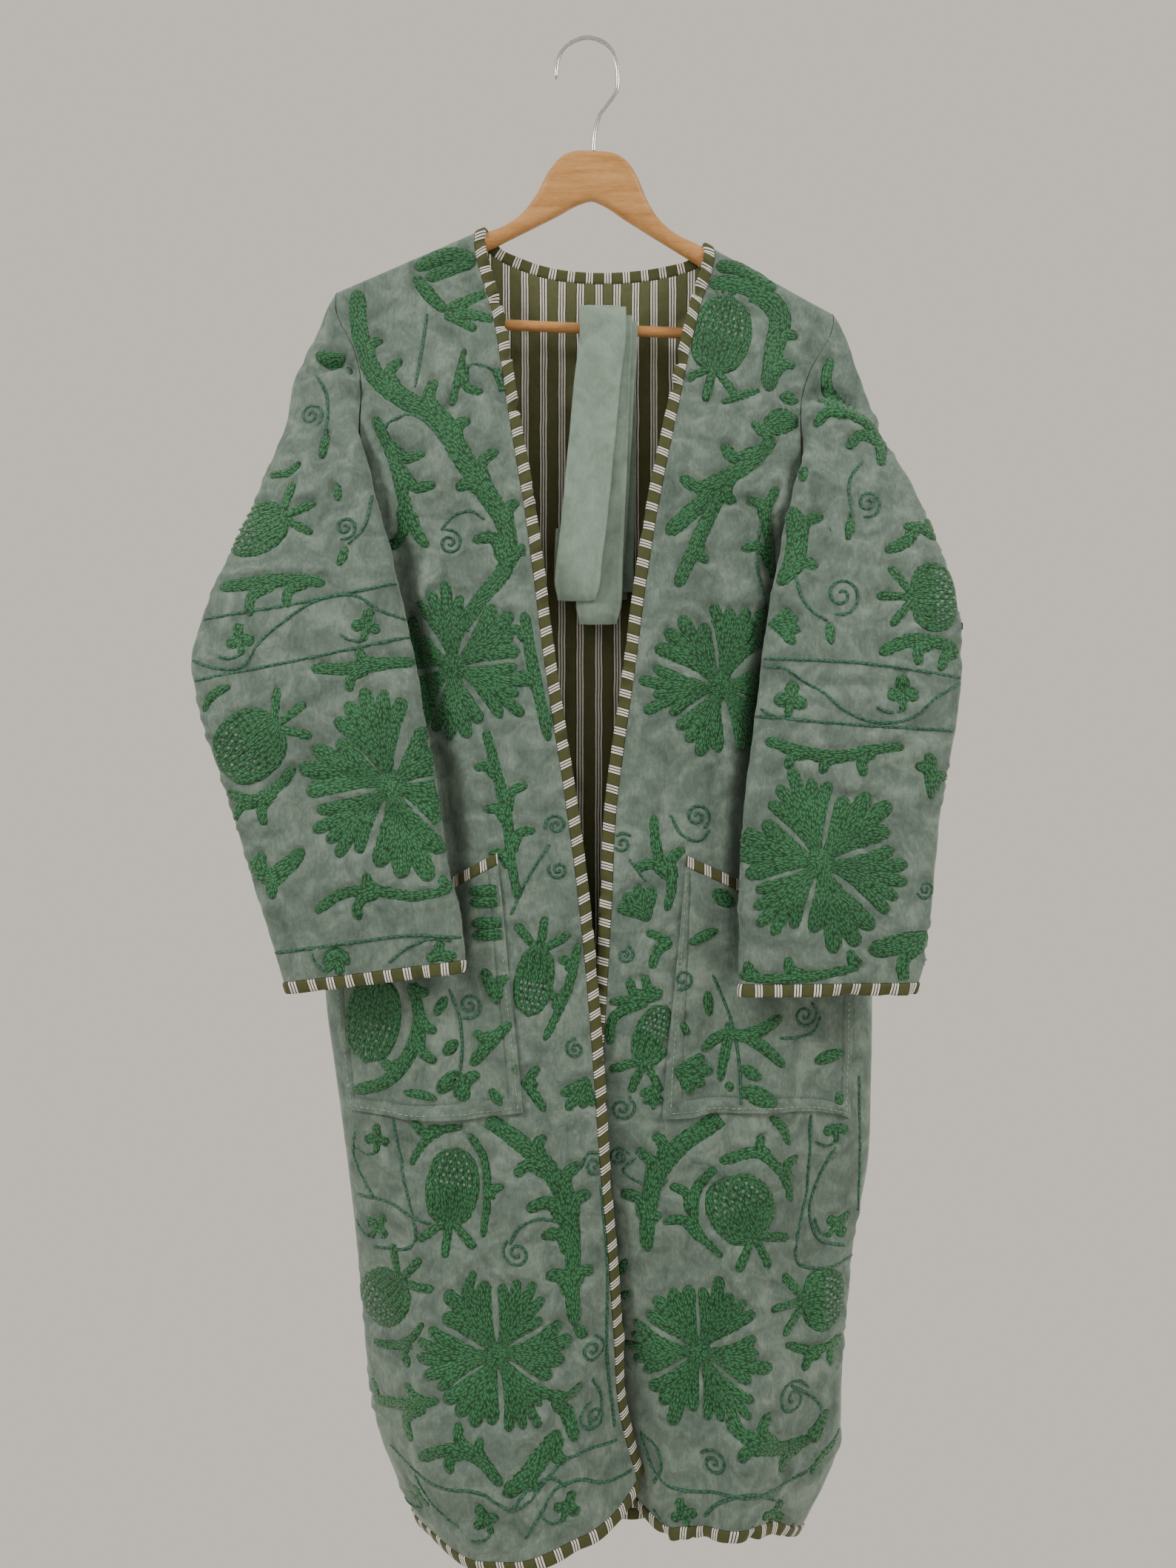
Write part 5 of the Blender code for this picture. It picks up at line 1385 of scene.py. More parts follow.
def lay_grid(bm, places, flat, uv_layer):
    """A grid of faces on a net of places, its UV map given in metres."""
    rows, columns = places.shape[:2]
    verts = bmesh.ops.create_grid(bm, x_segments=columns - 1, y_segments=rows - 1, size=1.0)["verts"]
    for vert, place, spot in zip(verts, places.reshape(-1, 3), flat.reshape(-1, 2)):
        vert.co = place * MM
        for loop in vert.link_loops:
            loop[uv_layer].uv = spot * MM
    return verts, list({face for vert in verts for face in vert.link_faces})


def finish_piece(name, bm, materials, slot, *nodes, sharp=60):
    """Turn a bmesh into a smooth shaded piece that rides on the robe and stands for its solids."""
    bmesh.ops.recalc_face_normals(bm, faces=bm.faces[:])
    mesh = bpy.data.meshes.new(name)
    bm.to_mesh(mesh)
    bm.free()
    mesh.shade_smooth()
    mesh.set_sharp_from_angle(angle=math.radians(sharp))
    for material in materials:
        mesh.materials.append(paint_here(material))
    piece = bpy.data.objects.new(name, mesh)
    bpy.context.collection.objects.link(piece)
    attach(piece, "root")
    if nodes:
        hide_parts(*nodes)
    triangles = sum(len(face.vertices) - 2 for face in mesh.polygons)
    area = sum(face.area for face in mesh.polygons)
    print(name, "has", triangles, "triangles and", round(area / 2, 4), "square metres a face")
    return piece


def cloth_shell(name, net, normals, near, far, materials, slot, around=False):
    """A closed shell between two distances outside a net, with a material for each face."""
    bm = bmesh.new()
    uv_layer = bm.loops.layers.uv.new("UVMap")
    flat = net[..., [0, 2]]
    if around:
        down, across = mean_steps(net, 0), mean_steps(net, 1)
        flat = np.stack(np.broadcast_arrays(across[None, :], -down[:, None]), axis=-1)
    lay_grid(bm, net + normals * near, flat, uv_layer)
    _, inner = lay_grid(bm, net + normals * far, flat, uv_layer)
    bmesh.ops.reverse_faces(bm, faces=inner)
    rims = [edge for edge in bm.edges if edge.is_boundary]
    bmesh.ops.bridge_loops(bm, edges=rims)
    for face in inner:
        face.material_index = len(materials) - 1
    return finish_piece(name + "_cloth", bm, materials, slot, name)


print("the velvet alone is", VELVET, "mm thick")

# %% Make the fronts, sleeves, back and lining
VELVET_NAME = "cotton velvet, cut pile, hand embroidered"
LINING_NAME = "striped cotton lining, plain weave"
for side in ("left", "right"):
    for kind in ("front", "sleeve"):
        name = kind + "_" + side
        cloth_shell(name, *nets[name], 0, -CLOTH, [VELVET_NAME, LINING_NAME],
                                  "embroidered_velvet", around=kind == "sleeve")
cloth_shell("back", *nets["back"], 0, -VELVET, [VELVET_NAME, VELVET_NAME],
                            "embroidered_velvet")
cloth_shell("lining_back", *nets["back"], -VELVET - SEAM_GAP, -CLOTH, [LINING_NAME],
                                   "striped_lining")

# %% [markdown]
# ## Bindings cut from the striped cotton
# Every raw edge of the robe is wrapped in a narrow strip of the lining's cotton, cut so that the
# stripes cross it. A strip is a flat rounded section carried along the edge. It is made as a grid,
# rolled up and welded along its seam. Its UV map counts metres along the edge for the stripes.

# %% Roll a grid into a closed strip
BINDING_STEP = 2.5
SECTION_TURNS = np.linspace(0, math.tau, 14, endpoint=False)


def roll_up(bm, rings, start=0.0):
    """A closed skin over rings of places: a grid, welded along its seam and capped at its ends."""
    uv_layer = bm.loops.layers.uv.verify()
    rings = np.asarray(rings)
    middle = rings.mean(axis=1)
    along = start + lengths_along(middle)
    rolled = np.concatenate([rings, rings[:, :1]], axis=1)
    around = lengths_along(rolled[len(rings) // 2])
    flat = np.stack(np.broadcast_arrays(along[:, None], around[None, :]), axis=-1)
    verts, _ = lay_grid(bm, rolled, flat, uv_layer)
    bmesh.ops.remove_doubles(bm, verts=verts, dist=1e-7)
    open_edges = [edge for edge in bm.edges if edge.is_boundary]
    bmesh.ops.holes_fill(bm, edges=open_edges, sides=0)


def flat_section(width, thick):
    """A soft flat oval, as places across and out, once round."""
    cosines, sines = np.cos(SECTION_TURNS), np.sin(SECTION_TURNS)
    across = 0.5 * np.sign(cosines) * np.abs(cosines) ** 0.55
    out = 0.5 * np.sign(sines) * np.abs(sines) ** 0.8
    return np.stack([across * width, out * thick], axis=1)


def bind_edge(name, edge, ways, normals, width=BINDING_WIDTH, thick=BINDING_THICK,
              depth=BINDING_THICK / 2 - CLOTH):
    """A strip of binding that carries on from an edge, a seam's gap away from it."""
    at = lengths_along(edge)
    wanted = np.linspace(0, at[-1], int(at[-1] / BINDING_STEP) + 1)
    edge = resample(edge, at, wanted)
    ways, normals = unit(resample(ways, at, wanted)), unit(resample(normals, at, wanted))
    middle = edge + ways * (SEAM_GAP + width / 2) + normals * depth
    section = flat_section(width, thick)
    rings = [place + way * section[:, :1] + normal * section[:, 1:]
             for place, way, normal in zip(middle, ways, normals)]
    bm = bmesh.new()
    roll_up(bm, rings)
    return finish_piece(name + "_strip", bm, ["striped cotton binding, folded"], "striped_binding", name)


def last_way(net, axis, ends=(-1, -2)):
    """The way in which the cloth runs out over one of its borders."""
    first, second = (np.take(net, end, axis=axis) for end in ends)
    return unit(first - second)


def bind_foot(name, panel):
    """A strip of binding along the lowest row of a panel."""
    net, normals = nets[panel]
    return bind_edge(name, net[-1], last_way(net, 0), normals[-1])


for side in ("left", "right"):
    net, normals = nets["front_" + side]
    bind_edge("binding_" + side, net[:, -1], last_way(net, 1), normals[:, -1])
    bind_foot("hem_binding_" + side, "front_" + side)
    bind_foot("cuff_binding_" + side, "sleeve_" + side)
bind_foot("hem_binding_back", "back")

# %% The back of the neck, where the strip climbs onto the hanger's arms
coarse, coarse_normals = back_grid()
neck = slice(BACK_SHOULDER_CELLS, BACK_SHOULDER_CELLS + len(NECKLINE.rows))
border, facing = coarse[0, neck], coarse_normals[0, neck]
upward = unit(np.cross(np.gradient(border, axis=0), facing))
for i, place in enumerate(border):
    inward = 1 if place[0] < 0 else -1
    slope = (ridge_drop(place[0] + 2) - ridge_drop(place[0] - 2)) / 4
    arm = np.array([inward, 0, -inward * slope]) / math.hypot(1, slope)
    upward[i] = arm + (upward[i] - arm) * ease((place[1] - 8) / 3)
bind_edge("binding_neck", border, unit(upward), facing)

# %% [markdown]
# ## Patch pockets
# A pocket is cut from the same embroidered velvet and laid on the front. It starts as a flat net at
# the pocket's own corners, which is then dropped onto the creased front: a ray for each place finds
# the cloth behind it. The pocket therefore follows every fold under it, as sewn cloth does.

# %% Lay the pockets on the fronts
POCKET_STEP = 2.0
POCKET_HEM = 12.0
POCKET_SEAM = 10.0
POCKET_PUFF = 0.5
POCKET_RIDGE, POCKET_GROOVE = 0.7, 1.5


def pocket_grid(side):
    """The rows and columns of a pocket, on its front's outer face."""
    size = POCKETS[side]
    inner = size["inner_top"]
    columns = [size["outer"]] + [a for a in FRONT_ACROSS if size["outer"] + 0.01 < a < inner - 0.01]
    columns.append(inner)
    front, _ = front_grid(side)
    drops = -front[:, 0, 2]
    rows = []
    for part in np.linspace(0, 1, POCKET_ROWS):
        row = []
        for place in columns:
            share = (inner - place) / (inner - size["outer"])
            start = np.interp(share, (0, 1), size["top"]) + BINDING_WIDTH
            drop = start + (np.interp(share, (0, 1), size["low"]) - start) * part
            lean = (size["inner_low"] - inner) * part if place == inner else 0
            line = [[np.interp(place + lean, FRONT_ACROSS, front[r, :, k]) for k in range(3)]
                    for r in range(len(front))]
            row.append([np.interp(drop, drops, [spot[k] for spot in line]) for k in range(3)])
        rows.append(row)
    points = np.array(rows)
    return points, grid_normals(points, SIGN[side])


pockets = {}
for side in ("left", "right"):
    name = "pocket_" + side
    points, normals = refine(*pocket_grid(side), POCKET_STEP)
    for row in points:
        for point in row:
            place, _ = drop_onto(trees["front_" + side], point[0], point[2])
            if place is not None:
                point[1] = place.y
    down, across = mean_steps(points, 0), mean_steps(points, 1)
    above_hem = down[-1] - POCKET_HEM - down
    from_sides = np.minimum(across, across[-1] - across)[None, :]
    from_seam = np.minimum(above_hem[:, None], from_sides - POCKET_SEAM)
    ridge = POCKET_RIDGE * np.clip(-from_seam / 2, 0, 1) - POCKET_GROOVE * np.exp(-(from_seam / 1.4) ** 2)
    points = points + normals * (ridge * border_fade(points, 4) + POCKET_PUFF)[..., None]
    nets[name] = [points, normals]
    trees[name] = tree_of(points + normals * (POCKET_LIFT + POCKET_THICK))
    far = POCKET_LIFT + POCKET_THICK
    pockets[name] = cloth_shell(name, points, normals, far, POCKET_LIFT, [VELVET_NAME], "embroidered_velvet")
    up = last_way(points, 0, ends=(0, 1))
    bind_edge(
        "pocket_binding_" + side, points[0], up, normals[0],
        width=BINDING_WIDTH - 1, thick=3.0, depth=POCKET_LIFT + 1.6)

# %% [markdown]
# ## The belt
# The robe's tie is a long tube of plain velvet, pressed flat and hung over the hanger's bar in a
# few loops. Each loop follows a route over the bar and down, with the same routes as the solids.
# The flat section gets a shallow line of stitching near each edge.

# %% Routes over the bar
BELT_SECTION = 30
BELT_STEP = 3.0
TURN_PINCH = 0.16
FRONT_LEG = -15.0
BELT_CREASES = [(1.6, 2.5, "-6,258 14,288 32,318"), (-1.4, 2.5, "-10,264 9,294 27,324"),
                (-1.2, 3, "-22,400 -14,430 -18,462"), (1.0, 3, "2,420 8,450 4,480")]


def belt_loop(reach, rise, middle, bar_drop):
    """Half a turn over the bar, from the front to the back."""
    return [(middle, -reach * math.cos(turn), -bar_drop + rise * math.sin(turn))
            for turn in np.linspace(0, math.pi, 11)]


def leg(x_top, x_low, depth, drop_top, drop_low, count=5):
    """A hanging part of the belt, top to bottom."""
    return [(x_top + (x_low - x_top) * f, depth, -(drop_top + (drop_low - drop_top) * f))
            for f in np.linspace(0, 1, count)]


def ribbon(name, route, bar_drop):
    """A flat band of cloth along a route, level with the tilted bar where it lies on it."""
    route = np.array(route, dtype=float)
    at = lengths_along(route)
    route = resample(route, at, np.linspace(0, at[-1], int(at[-1] / BELT_STEP)))
    ways = unit(np.gradient(route, axis=0) * np.array([0, 1, 1]))
    turns = np.linspace(0, math.tau, BELT_SECTION, endpoint=False)
    across = 0.5 * np.sign(np.cos(turns)) * np.abs(np.cos(turns)) ** 0.7
    out = 0.5 * np.sign(np.sin(turns)) * np.abs(np.sin(turns)) ** 0.35
    out = out * (1 - 0.7 * np.exp(-((np.abs(across) - 0.41) / 0.035) ** 2))
    lowest = route[:, 2].min()
    rings = []
    for place, way in zip(route, ways):
        tilt = HANGER_TILT * (1 - ease((-place[2] - bar_drop - 10) / 50))
        wide = np.array([math.cos(tilt), 0, -math.sin(tilt)])
        face = np.cross(way, wide)
        wave = np.array([0.7 * noise.noise(Vector((share * 1.6, place[2] / 26, 2.0))) for share in across])
        pinch = 1 - TURN_PINCH * math.exp(-((place[2] - lowest) / 9) ** 2)
        wander = 0.8 * noise.noise(Vector((0.3, place[2] / 40, 5.0)))
        ring = place + wide * (across[:, None] * BELT_WIDTH * pinch + wander)
        if place[1] < FRONT_LEG:
            wave = wave + crease_heights(ring[:, 0], -ring[:, 2], BELT_CREASES)
        rings.append(ring + face * (out * BELT_THICK + wave)[:, None])
    bm = bmesh.new()
    roll_up(bm, rings)
    return finish_piece(name + "_strap", bm, ["plain cotton velvet, pressed flat"], "plain_velvet", name)


def half_turn(x, low, start, half, way):
    """The turn at the foot of a loop, from one layer to the next."""
    return [(x, start + way * half * (1 - math.cos(turn)), -low - half * math.sin(turn))
            for turn in np.linspace(0, math.pi, 6)[1:]]


print("a turn at the foot of the belt has", len(half_turn(0, 500, 0, 2, 1)), "places")

# %% The two stretches of the belt
bar_drop = -hanger_place(14, BAR_DOWN).z
INNER_REACH, MIDDLE_REACH, TURN_LOW = 6.6, 10.2, 508.0
route = leg(25, 22, INNER_REACH, bar_drop, 480)[::-1][:-1]
route += belt_loop(INNER_REACH, INNER_REACH, 25, bar_drop)[::-1]
route += leg(25, 11, -INNER_REACH, bar_drop, TURN_LOW)[1:]
route += half_turn(11, TURN_LOW, -INNER_REACH, (MIDDLE_REACH - INNER_REACH) / 2, -1)
route += leg(20, 11, -MIDDLE_REACH, bar_drop, TURN_LOW)[::-1][1:]
route += belt_loop(MIDDLE_REACH, 12.5, 20, bar_drop)[1:]
route += leg(20, 16, MIDDLE_REACH, bar_drop, 486)[1:]
belt_behind = ribbon("belt_behind", route, bar_drop)

FRONT_REACH, TAIL_REACH, TAIL_BACK, BELT_LOW = 17.4, 13.8, 13.6, 488.0
route = leg(15, 12, TAIL_BACK, bar_drop, 470)[::-1][:-1]
route += [(15, (TAIL_BACK - FRONT_REACH) / 2 - (TAIL_BACK + FRONT_REACH) / 2 * math.cos(turn),
           -bar_drop + 18.5 * math.sin(turn)) for turn in np.linspace(0, math.pi, 13)][::-1]
route += leg(15, -8, -FRONT_REACH, bar_drop, BELT_LOW)[1:]
route += half_turn(-8, BELT_LOW, -FRONT_REACH, (FRONT_REACH - TAIL_REACH) / 2, 1)
route += leg(-6, -8, -TAIL_REACH, BELT_LOW - 60, BELT_LOW, count=4)[::-1][1:]
belt_front = ribbon("belt_front", route, bar_drop)

# %% [markdown]
# ## The wooden hanger
# The arms are one flat board of beech, sawn to a curve and rounded over all its edges, with a
# turned bar let into them. The hook is a bent wire, chromed. The board is made as its outline
# repeated at a few depths, each drawn in a little more towards the faces.

# %% Board, bar and hook
WOOD_STEP = 4.0
ROUND_TURNS = range(-90, 91, 18)
ROUND_PLACES = 28
WIRE_RINGS = 150


def wood_outline():
    """The hanger's outline, once round, as places out and down."""
    half = [tuple(row) for row in WOOD_TOP.rows[1:-1]] + WOOD_TIP + WOOD_UNDER
    left = [(-out, down) for out, down in reversed(half)]
    return [tuple(WOOD_TOP.rows[0])] + half + [WOOD_APEX] + left


def smooth_outline(outline, step):
    """Evenly spaced places on a closed outline, with each place's way inward."""
    places = np.array(outline[-3:] + outline + outline[:3], dtype=float)
    at = lengths_along(places)
    length = at[-4] - at[3] + np.linalg.norm(places[3] - places[-4])
    wanted = np.linspace(at[3], at[3] + length, int(length / step), endpoint=False)
    loop = resample(places, at, wanted)
    ways = unit(np.roll(loop, -1, axis=0) - np.roll(loop, 1, axis=0))
    return loop, np.stack([-ways[:, 1], ways[:, 0]], axis=1)


outline, inward = smooth_outline(wood_outline(), WOOD_STEP)
rings = []
for turn in ROUND_TURNS:
    inset = ARM_THICK / 2 * (1 - math.cos(math.radians(turn)))
    depth = ARM_THICK / 2 * math.sin(math.radians(turn))
    rings.append([hanger_place(*(place + way * inset), depth) for place, way in zip(outline, inward)])
bm = bmesh.new()
roll_up(bm, rings)
finish_piece("hanger_board", bm, ["beech, sanded and lacquered"], "hanger_beech", "hanger_wood")

turns = np.linspace(0, math.tau, ROUND_PLACES, endpoint=False)
bar_rings = [[hanger_place(out, BAR_DOWN + BAR_RADIUS * math.cos(turn), BAR_RADIUS * math.sin(turn))
              for turn in turns] for out in np.linspace(-BAR_REACH, BAR_REACH, 40)]
bm = bmesh.new()
roll_up(bm, bar_rings)
finish_piece("hanger_rail", bm, ["beech, sanded and lacquered"], "hanger_beech", "hanger_bar")

route = [(x, 0, z) for x, z in HOOK_ROUTE] + [(HANGER_TOP.x, 0, HANGER_TOP.z + SEAM_GAP)]
wire = even_out(route, WIRE_RINGS)
ways = unit(np.gradient(wire, axis=0))
aside = np.stack([-ways[:, 2], np.zeros(len(ways)), ways[:, 0]], axis=1)
swell = np.sqrt(np.clip(np.arange(len(wire)) / 1.6, 0.15, 1))
cosines, sines = np.cos(turns)[:, None], np.sin(turns)[:, None]
hook_rings = [place + WIRE_RADIUS * grow * (side * cosines + np.array([0, 1, 0]) * sines)
              for place, side, grow in zip(wire, aside, swell)]
bm = bmesh.new()
roll_up(bm, hook_rings)
finish_piece("hanger_wire", bm, ["steel wire, chromed"], "hook_wire", "hanger_hook")

# %% Lay strokes on a panel
ROW_SHARES = (-1.0, -0.66, 0.0, 0.66, 1.0, 0.0)
ROW_HEIGHTS = (-0.3, 0.84, 1.0, 0.84, -0.3, -0.4)
PULLS = (1.0, 0.75, 0.5, 0.25, 0.0)
MOST_DROP = 7.0
CLEAR_OF_OTHERS = 2.6
STITCH_KINDS = {"stitches": "silk chain stitch, worked solid", "chain": "silk chain stitch, single line",
                "seed": VELVET_NAME, "topstitch": "cotton sewing thread"}


def on_panel(tree, spot, from_front):
    """The place on a panel behind a spot, and the way out of the cloth there."""
    place, way = drop_onto(tree, spot[0], spot[1], from_front)
    if place is None:
        return None, None
    if (way.y < 0) != from_front:
        way = -way
    return np.array(place), np.array(way)


def lay_row(tree, others, spot, side, half, height, lift, from_front):
    """One ring of a stroke on the cloth, or None where the panel ends or is covered."""
    centre, out = on_panel(tree, spot, from_front)
    if centre is None:
        return None
    if any(other.find_nearest(Vector(centre + out * 1.5), CLEAR_OF_OTHERS)[0] for other in others):
        return None
    ring = []
    for share, rise in zip(ROW_SHARES, ROW_HEIGHTS):
        for pull in PULLS:
            place, way = on_panel(tree, spot + side * half * share * pull, from_front)
            if place is not None and abs(place[1] - centre[1]) < MOST_DROP:
                break
        ring.append(place + way * (lift + height * rise))
    return ring


def embroider(name, panel, strokes, from_front=True, others=()):
    """Join the strokes of a panel into one piece, each a closed dome that follows the cloth."""
    bm = bmesh.new()
    scratch = bpy.data.meshes.new("scratch")
    kinds = list(STITCH_KINDS)
    other_trees = [trees[other] for other in others]
    for number, (kind, lift, *rows) in enumerate(strokes):
        runs = [[]]
        for k, (spot, side, half, height) in enumerate(zip(*rows)):
            uneven = 1 + 0.14 * noise.noise(Vector((spot[0] / 5, spot[1] / 5, number * 0.7)))
            ring = lay_row(trees[panel], other_trees, spot, side, half, height * uneven, lift, from_front)
            if ring is None:
                runs.append([])
            else:
                runs[-1].append(ring)
        for rings in runs:
            if len(rings) < 3:
                continue
            part = bmesh.new()
            roll_up(part, rings, start=number * 37.0)
            for face in part.faces:
                face.material_index = kinds.index(kind)
            part.to_mesh(scratch)
            part.free()
            bm.from_mesh(scratch)
    bpy.data.meshes.remove(scratch)
    return finish_piece(name, bm, list(STITCH_KINDS.values()), "embroidered_velvet", sharp=80)


print("each ring of a stroke has", len(ROW_SHARES), "places")

# %% Work the embroidery
PANEL_NEIGHBOURS = {
    "front_left": ["sleeve_left", "pocket_left"], "front_right": ["sleeve_right", "pocket_right"],
    "sleeve_left": ["front_left", "back"], "sleeve_right": ["front_right", "back"],
    "pocket_left": ["sleeve_left"], "pocket_right": ["sleeve_right"], "back": ["sleeve_left", "sleeve_right"],
}
for name in pockets:
    plans[(name, True)] = plan_of(name)
for (panel, from_front), strokes in plans.items():
    key = panel if from_front or panel == "back" else panel + "_behind"
    embroider("stitches_" + key, panel, strokes, from_front, PANEL_NEIGHBOURS[panel])

# %% Lines of machine stitching round the pockets
# A real thread is 0.4 mm thick, so it is drawn twice as thick to show
THREAD_WIDTH, THREAD_HEIGHT = 0.9, 0.55
DASH, DASH_GAP, STITCH_INSET = 3.4, 1.6, 4.5


def dashes(border):
    """Short stitches along a line of places."""
    line = smooth_line(border, 0.8)
    at = lengths_along(line)
    made = []
    for start in np.arange(0, at[-1] - DASH, DASH + DASH_GAP):
        places = resample(line, at, np.array([start, start + DASH]))
        made.append(stroke(places, THREAD_WIDTH, height=THREAD_HEIGHT, kind="topstitch"))
    return made


for name, pocket in pockets.items():
    net = nets[name][0]
    inset = max(1, round(STITCH_INSET / POCKET_STEP))
    sewn = []
    for border in (net[:, inset], net[-1 - inset], net[:, -1 - inset]):
        sewn += dashes(border[1:-1, [0, 2]])
    embroider("topstitch_" + name, name, sewn)

# %% [markdown]
# ## Finishes
# Each material starts from what the real one is and how its surface was made. Colours are given as
# they look on a screen and turned to linear light by one function. One small function adds a node
# with its settings and links. Patterns are scaled from real sizes, in metres.

# %% Colours, and one function for nodes
def colour(hex_code, alpha=1.0):
    """A screen colour in linear light."""
    parts = [int(hex_code[i:i + 2], 16) / 255 for i in (1, 3, 5)]
    return (*(p / 12.92 if p <= 0.04045 else ((p + 0.055) / 1.055) ** 2.4 for p in parts), alpha)


def set_inputs(node, inputs):
    """Link each input that is given a socket, and set the others to their values."""
    for key, value in inputs.items():
        if isinstance(value, bpy.types.NodeSocket):
            node.id_data.links.new(value, node.inputs[key])
        else:
            node.inputs[key].default_value = value


def add_node(tree, kind, inputs=None, stops=(), **settings):
    """Add a node with its settings, its inputs and the stops of its colour ramp."""
    made = tree.nodes.new("ShaderNode" + kind)
    for name, value in settings.items():
        setattr(made, name, value)
    if stops:
        ramp = made.color_ramp.elements
        while len(ramp) < len(stops):
            ramp.new(0.5)
        for stop, (place, tone) in zip(ramp, stops):
            stop.position = place
            stop.color = colour(tone)
    set_inputs(made, inputs or {})
    return made


def start_material(name):
    """A material's tree, its surface node, and the places on the object in metres."""
    material = paint_here(name)
    material.use_nodes = True
    tree = material.node_tree
    print("paint", name)
    return tree, tree.nodes["Principled BSDF"], add_node(tree, "TexCoord").outputs["Object"]


def finish_surface(surface, tone, height, strength, distance, inputs):
    """Give a surface its colour, a bump and the rest of its inputs."""
    bump = add_node(surface.id_data, "Bump", {"Height": height, "Strength": strength, "Distance": distance})
    set_inputs(surface, {"Base Color": tone, "Normal": bump.outputs["Normal"], **inputs})


# %% Velvet: cotton pile, woven double and cut apart, then brushed by wear
# The colour is mottled at random by two noises. This is partly the pile's own unevenness where wear has
# brushed it, and partly painted sheen: pale where the pile leans away and dark where it stands up.
def make_velvet(name, dark, middle, pale, crumple):
    tree, surface, place = start_material(name)
    pile_mottle_and_sheen = add_node(tree, "TexNoise", {"Vector": place, "Scale": 38.0, "Detail": 5.0, "Roughness": 0.62,
                                         "Distortion": 0.9})
    stretch = add_node(tree, "Mapping", {"Vector": place, "Scale": (1.0, 1.0, 0.45)})
    nap = add_node(tree, "TexNoise", {"Vector": stretch.outputs["Vector"], "Scale": 420.0, "Detail": 3.0,
                                      "Roughness": 0.7})
    both = add_node(tree, "Mix", {0: 0.3, 2: pile_mottle_and_sheen.outputs["Fac"], 3: nap.outputs["Fac"]},
                    data_type="FLOAT")
    # Painted sheen mixed with the pile's own mottle: the pale and dark patches that velvet shows as light
    # falls on its pile
    tone = add_node(tree, "ValToRGB", {"Fac": both.outputs[0]}, [(0.31, dark), (0.5, middle), (0.69, pale)])
    # Crushed pile shows as small creases, 5 to 18 mm apart
    crush = add_node(tree, "TexNoise", {"Vector": place, "Scale": 55.0, "Detail": 3.0, "Roughness": 0.5,
                                        "Distortion": 0.5}, noise_type="RIDGED_MULTIFRACTAL")
    height = add_node(tree, "Math", {0: nap.outputs["Fac"], 1: 0.22, 2: crush.outputs["Fac"]},
                      operation="MULTIPLY_ADD")
    finish_surface(surface, tone.outputs["Color"], height.outputs[0], crumple, 0.0016, {
        "Roughness": 0.82, "Specular IOR Level": 0.2, "Sheen Weight": 0.45, "Sheen Roughness": 0.42,
        "Sheen Tint": colour("#c9d6cf")})


make_velvet(VELVET_NAME, "#4b5a52", "#66776e", "#87968c", 0.8)
make_velvet("plain cotton velvet, pressed flat", "#718478", "#83978b", "#96a89c", 0.35)

# %% Striped cotton: plain weave in olive and white yarns, dyed before weaving
# The eye sees matt bands with crisp edges, and a faint slub where a yarn is thicker.
STRIPE_REPEAT = 0.0163
DEEP_OLIVE, WHITE = "#2a2c20", "#eceae0"


def make_striped(name, olive, wear):
    tree, surface, place = start_material(name)
    flat = add_node(tree, "TexCoord").outputs["UV"]
    split = add_node(tree, "SeparateXYZ", {"Vector": flat})
    sway = add_node(tree, "TexNoise", {"Vector": place, "Scale": 45.0, "Detail": 1.0})
    wander = add_node(tree, "Math", {0: sway.outputs["Fac"], 1: 0.0012, 2: split.outputs["X"]},
                      operation="MULTIPLY_ADD")
    count = add_node(tree, "Math", {0: wander.outputs[0], 1: STRIPE_REPEAT}, operation="DIVIDE")
    share = add_node(tree, "Math", {0: count.outputs[0]}, operation="FRACT")
    bands = add_node(tree, "ValToRGB", {"Fac": share.outputs[0]}, [
        (0.0, olive), (0.49, olive), (0.5, DEEP_OLIVE), (0.545, WHITE), (0.635, DEEP_OLIVE),
        (0.69, WHITE), (0.78, DEEP_OLIVE), (0.835, WHITE), (0.925, DEEP_OLIVE), (0.965, olive)])
    bands.color_ramp.interpolation = "CONSTANT"
    slub = add_node(tree, "TexNoise", {"Vector": place, "Scale": 260.0, "Detail": 4.0, "Roughness": 0.7})
    tint = add_node(tree, "ValToRGB", {"Fac": slub.outputs["Fac"]}, [(0.3, "#9a9a96"), (0.7, "#ffffff")])
    tone = add_node(tree, "Mix", {0: wear, 6: bands.outputs["Color"], 7: tint.outputs["Color"]},
                    data_type="RGBA", blend_type="MULTIPLY")
    # Threads 0.4 mm apart are too fine to show, so the weave is drawn 1 mm apart
    weave = add_node(tree, "TexVoronoi", {"Vector": place, "Scale": 1000.0, "Randomness": 0.4})
    height = add_node(tree, "Math", {0: weave.outputs["Distance"], 1: 0.3, 2: slub.outputs["Fac"]},
                      operation="MULTIPLY_ADD")
    finish_surface(surface, tone.outputs[2], height.outputs[0], 0.2, 0.0005, {
        "Roughness": 0.78, "Specular IOR Level": 0.3, "Sheen Weight": 0.12})


# The lining is the binding's cotton, but its olive is painted paler: this is painted light, standing in for
# the light that falls inside the open front
make_striped(LINING_NAME, "#5f6340", 0.3)
make_striped("striped cotton binding, folded", "#4d522d", 0.3)

# %% Silk in chain stitch: twisted floss, worked in loops with a hooked needle
# The colour follows the height of each loop. It is bright on the loops and dark between the rows, which is a
# painted highlight on the loops and painted shade between them, laid over a random tint of thread and dye
# lot. A real loop is about half as large as LOOP, which is drawn coarser so that it shows.
LOOP = (0.0040, 0.0019)


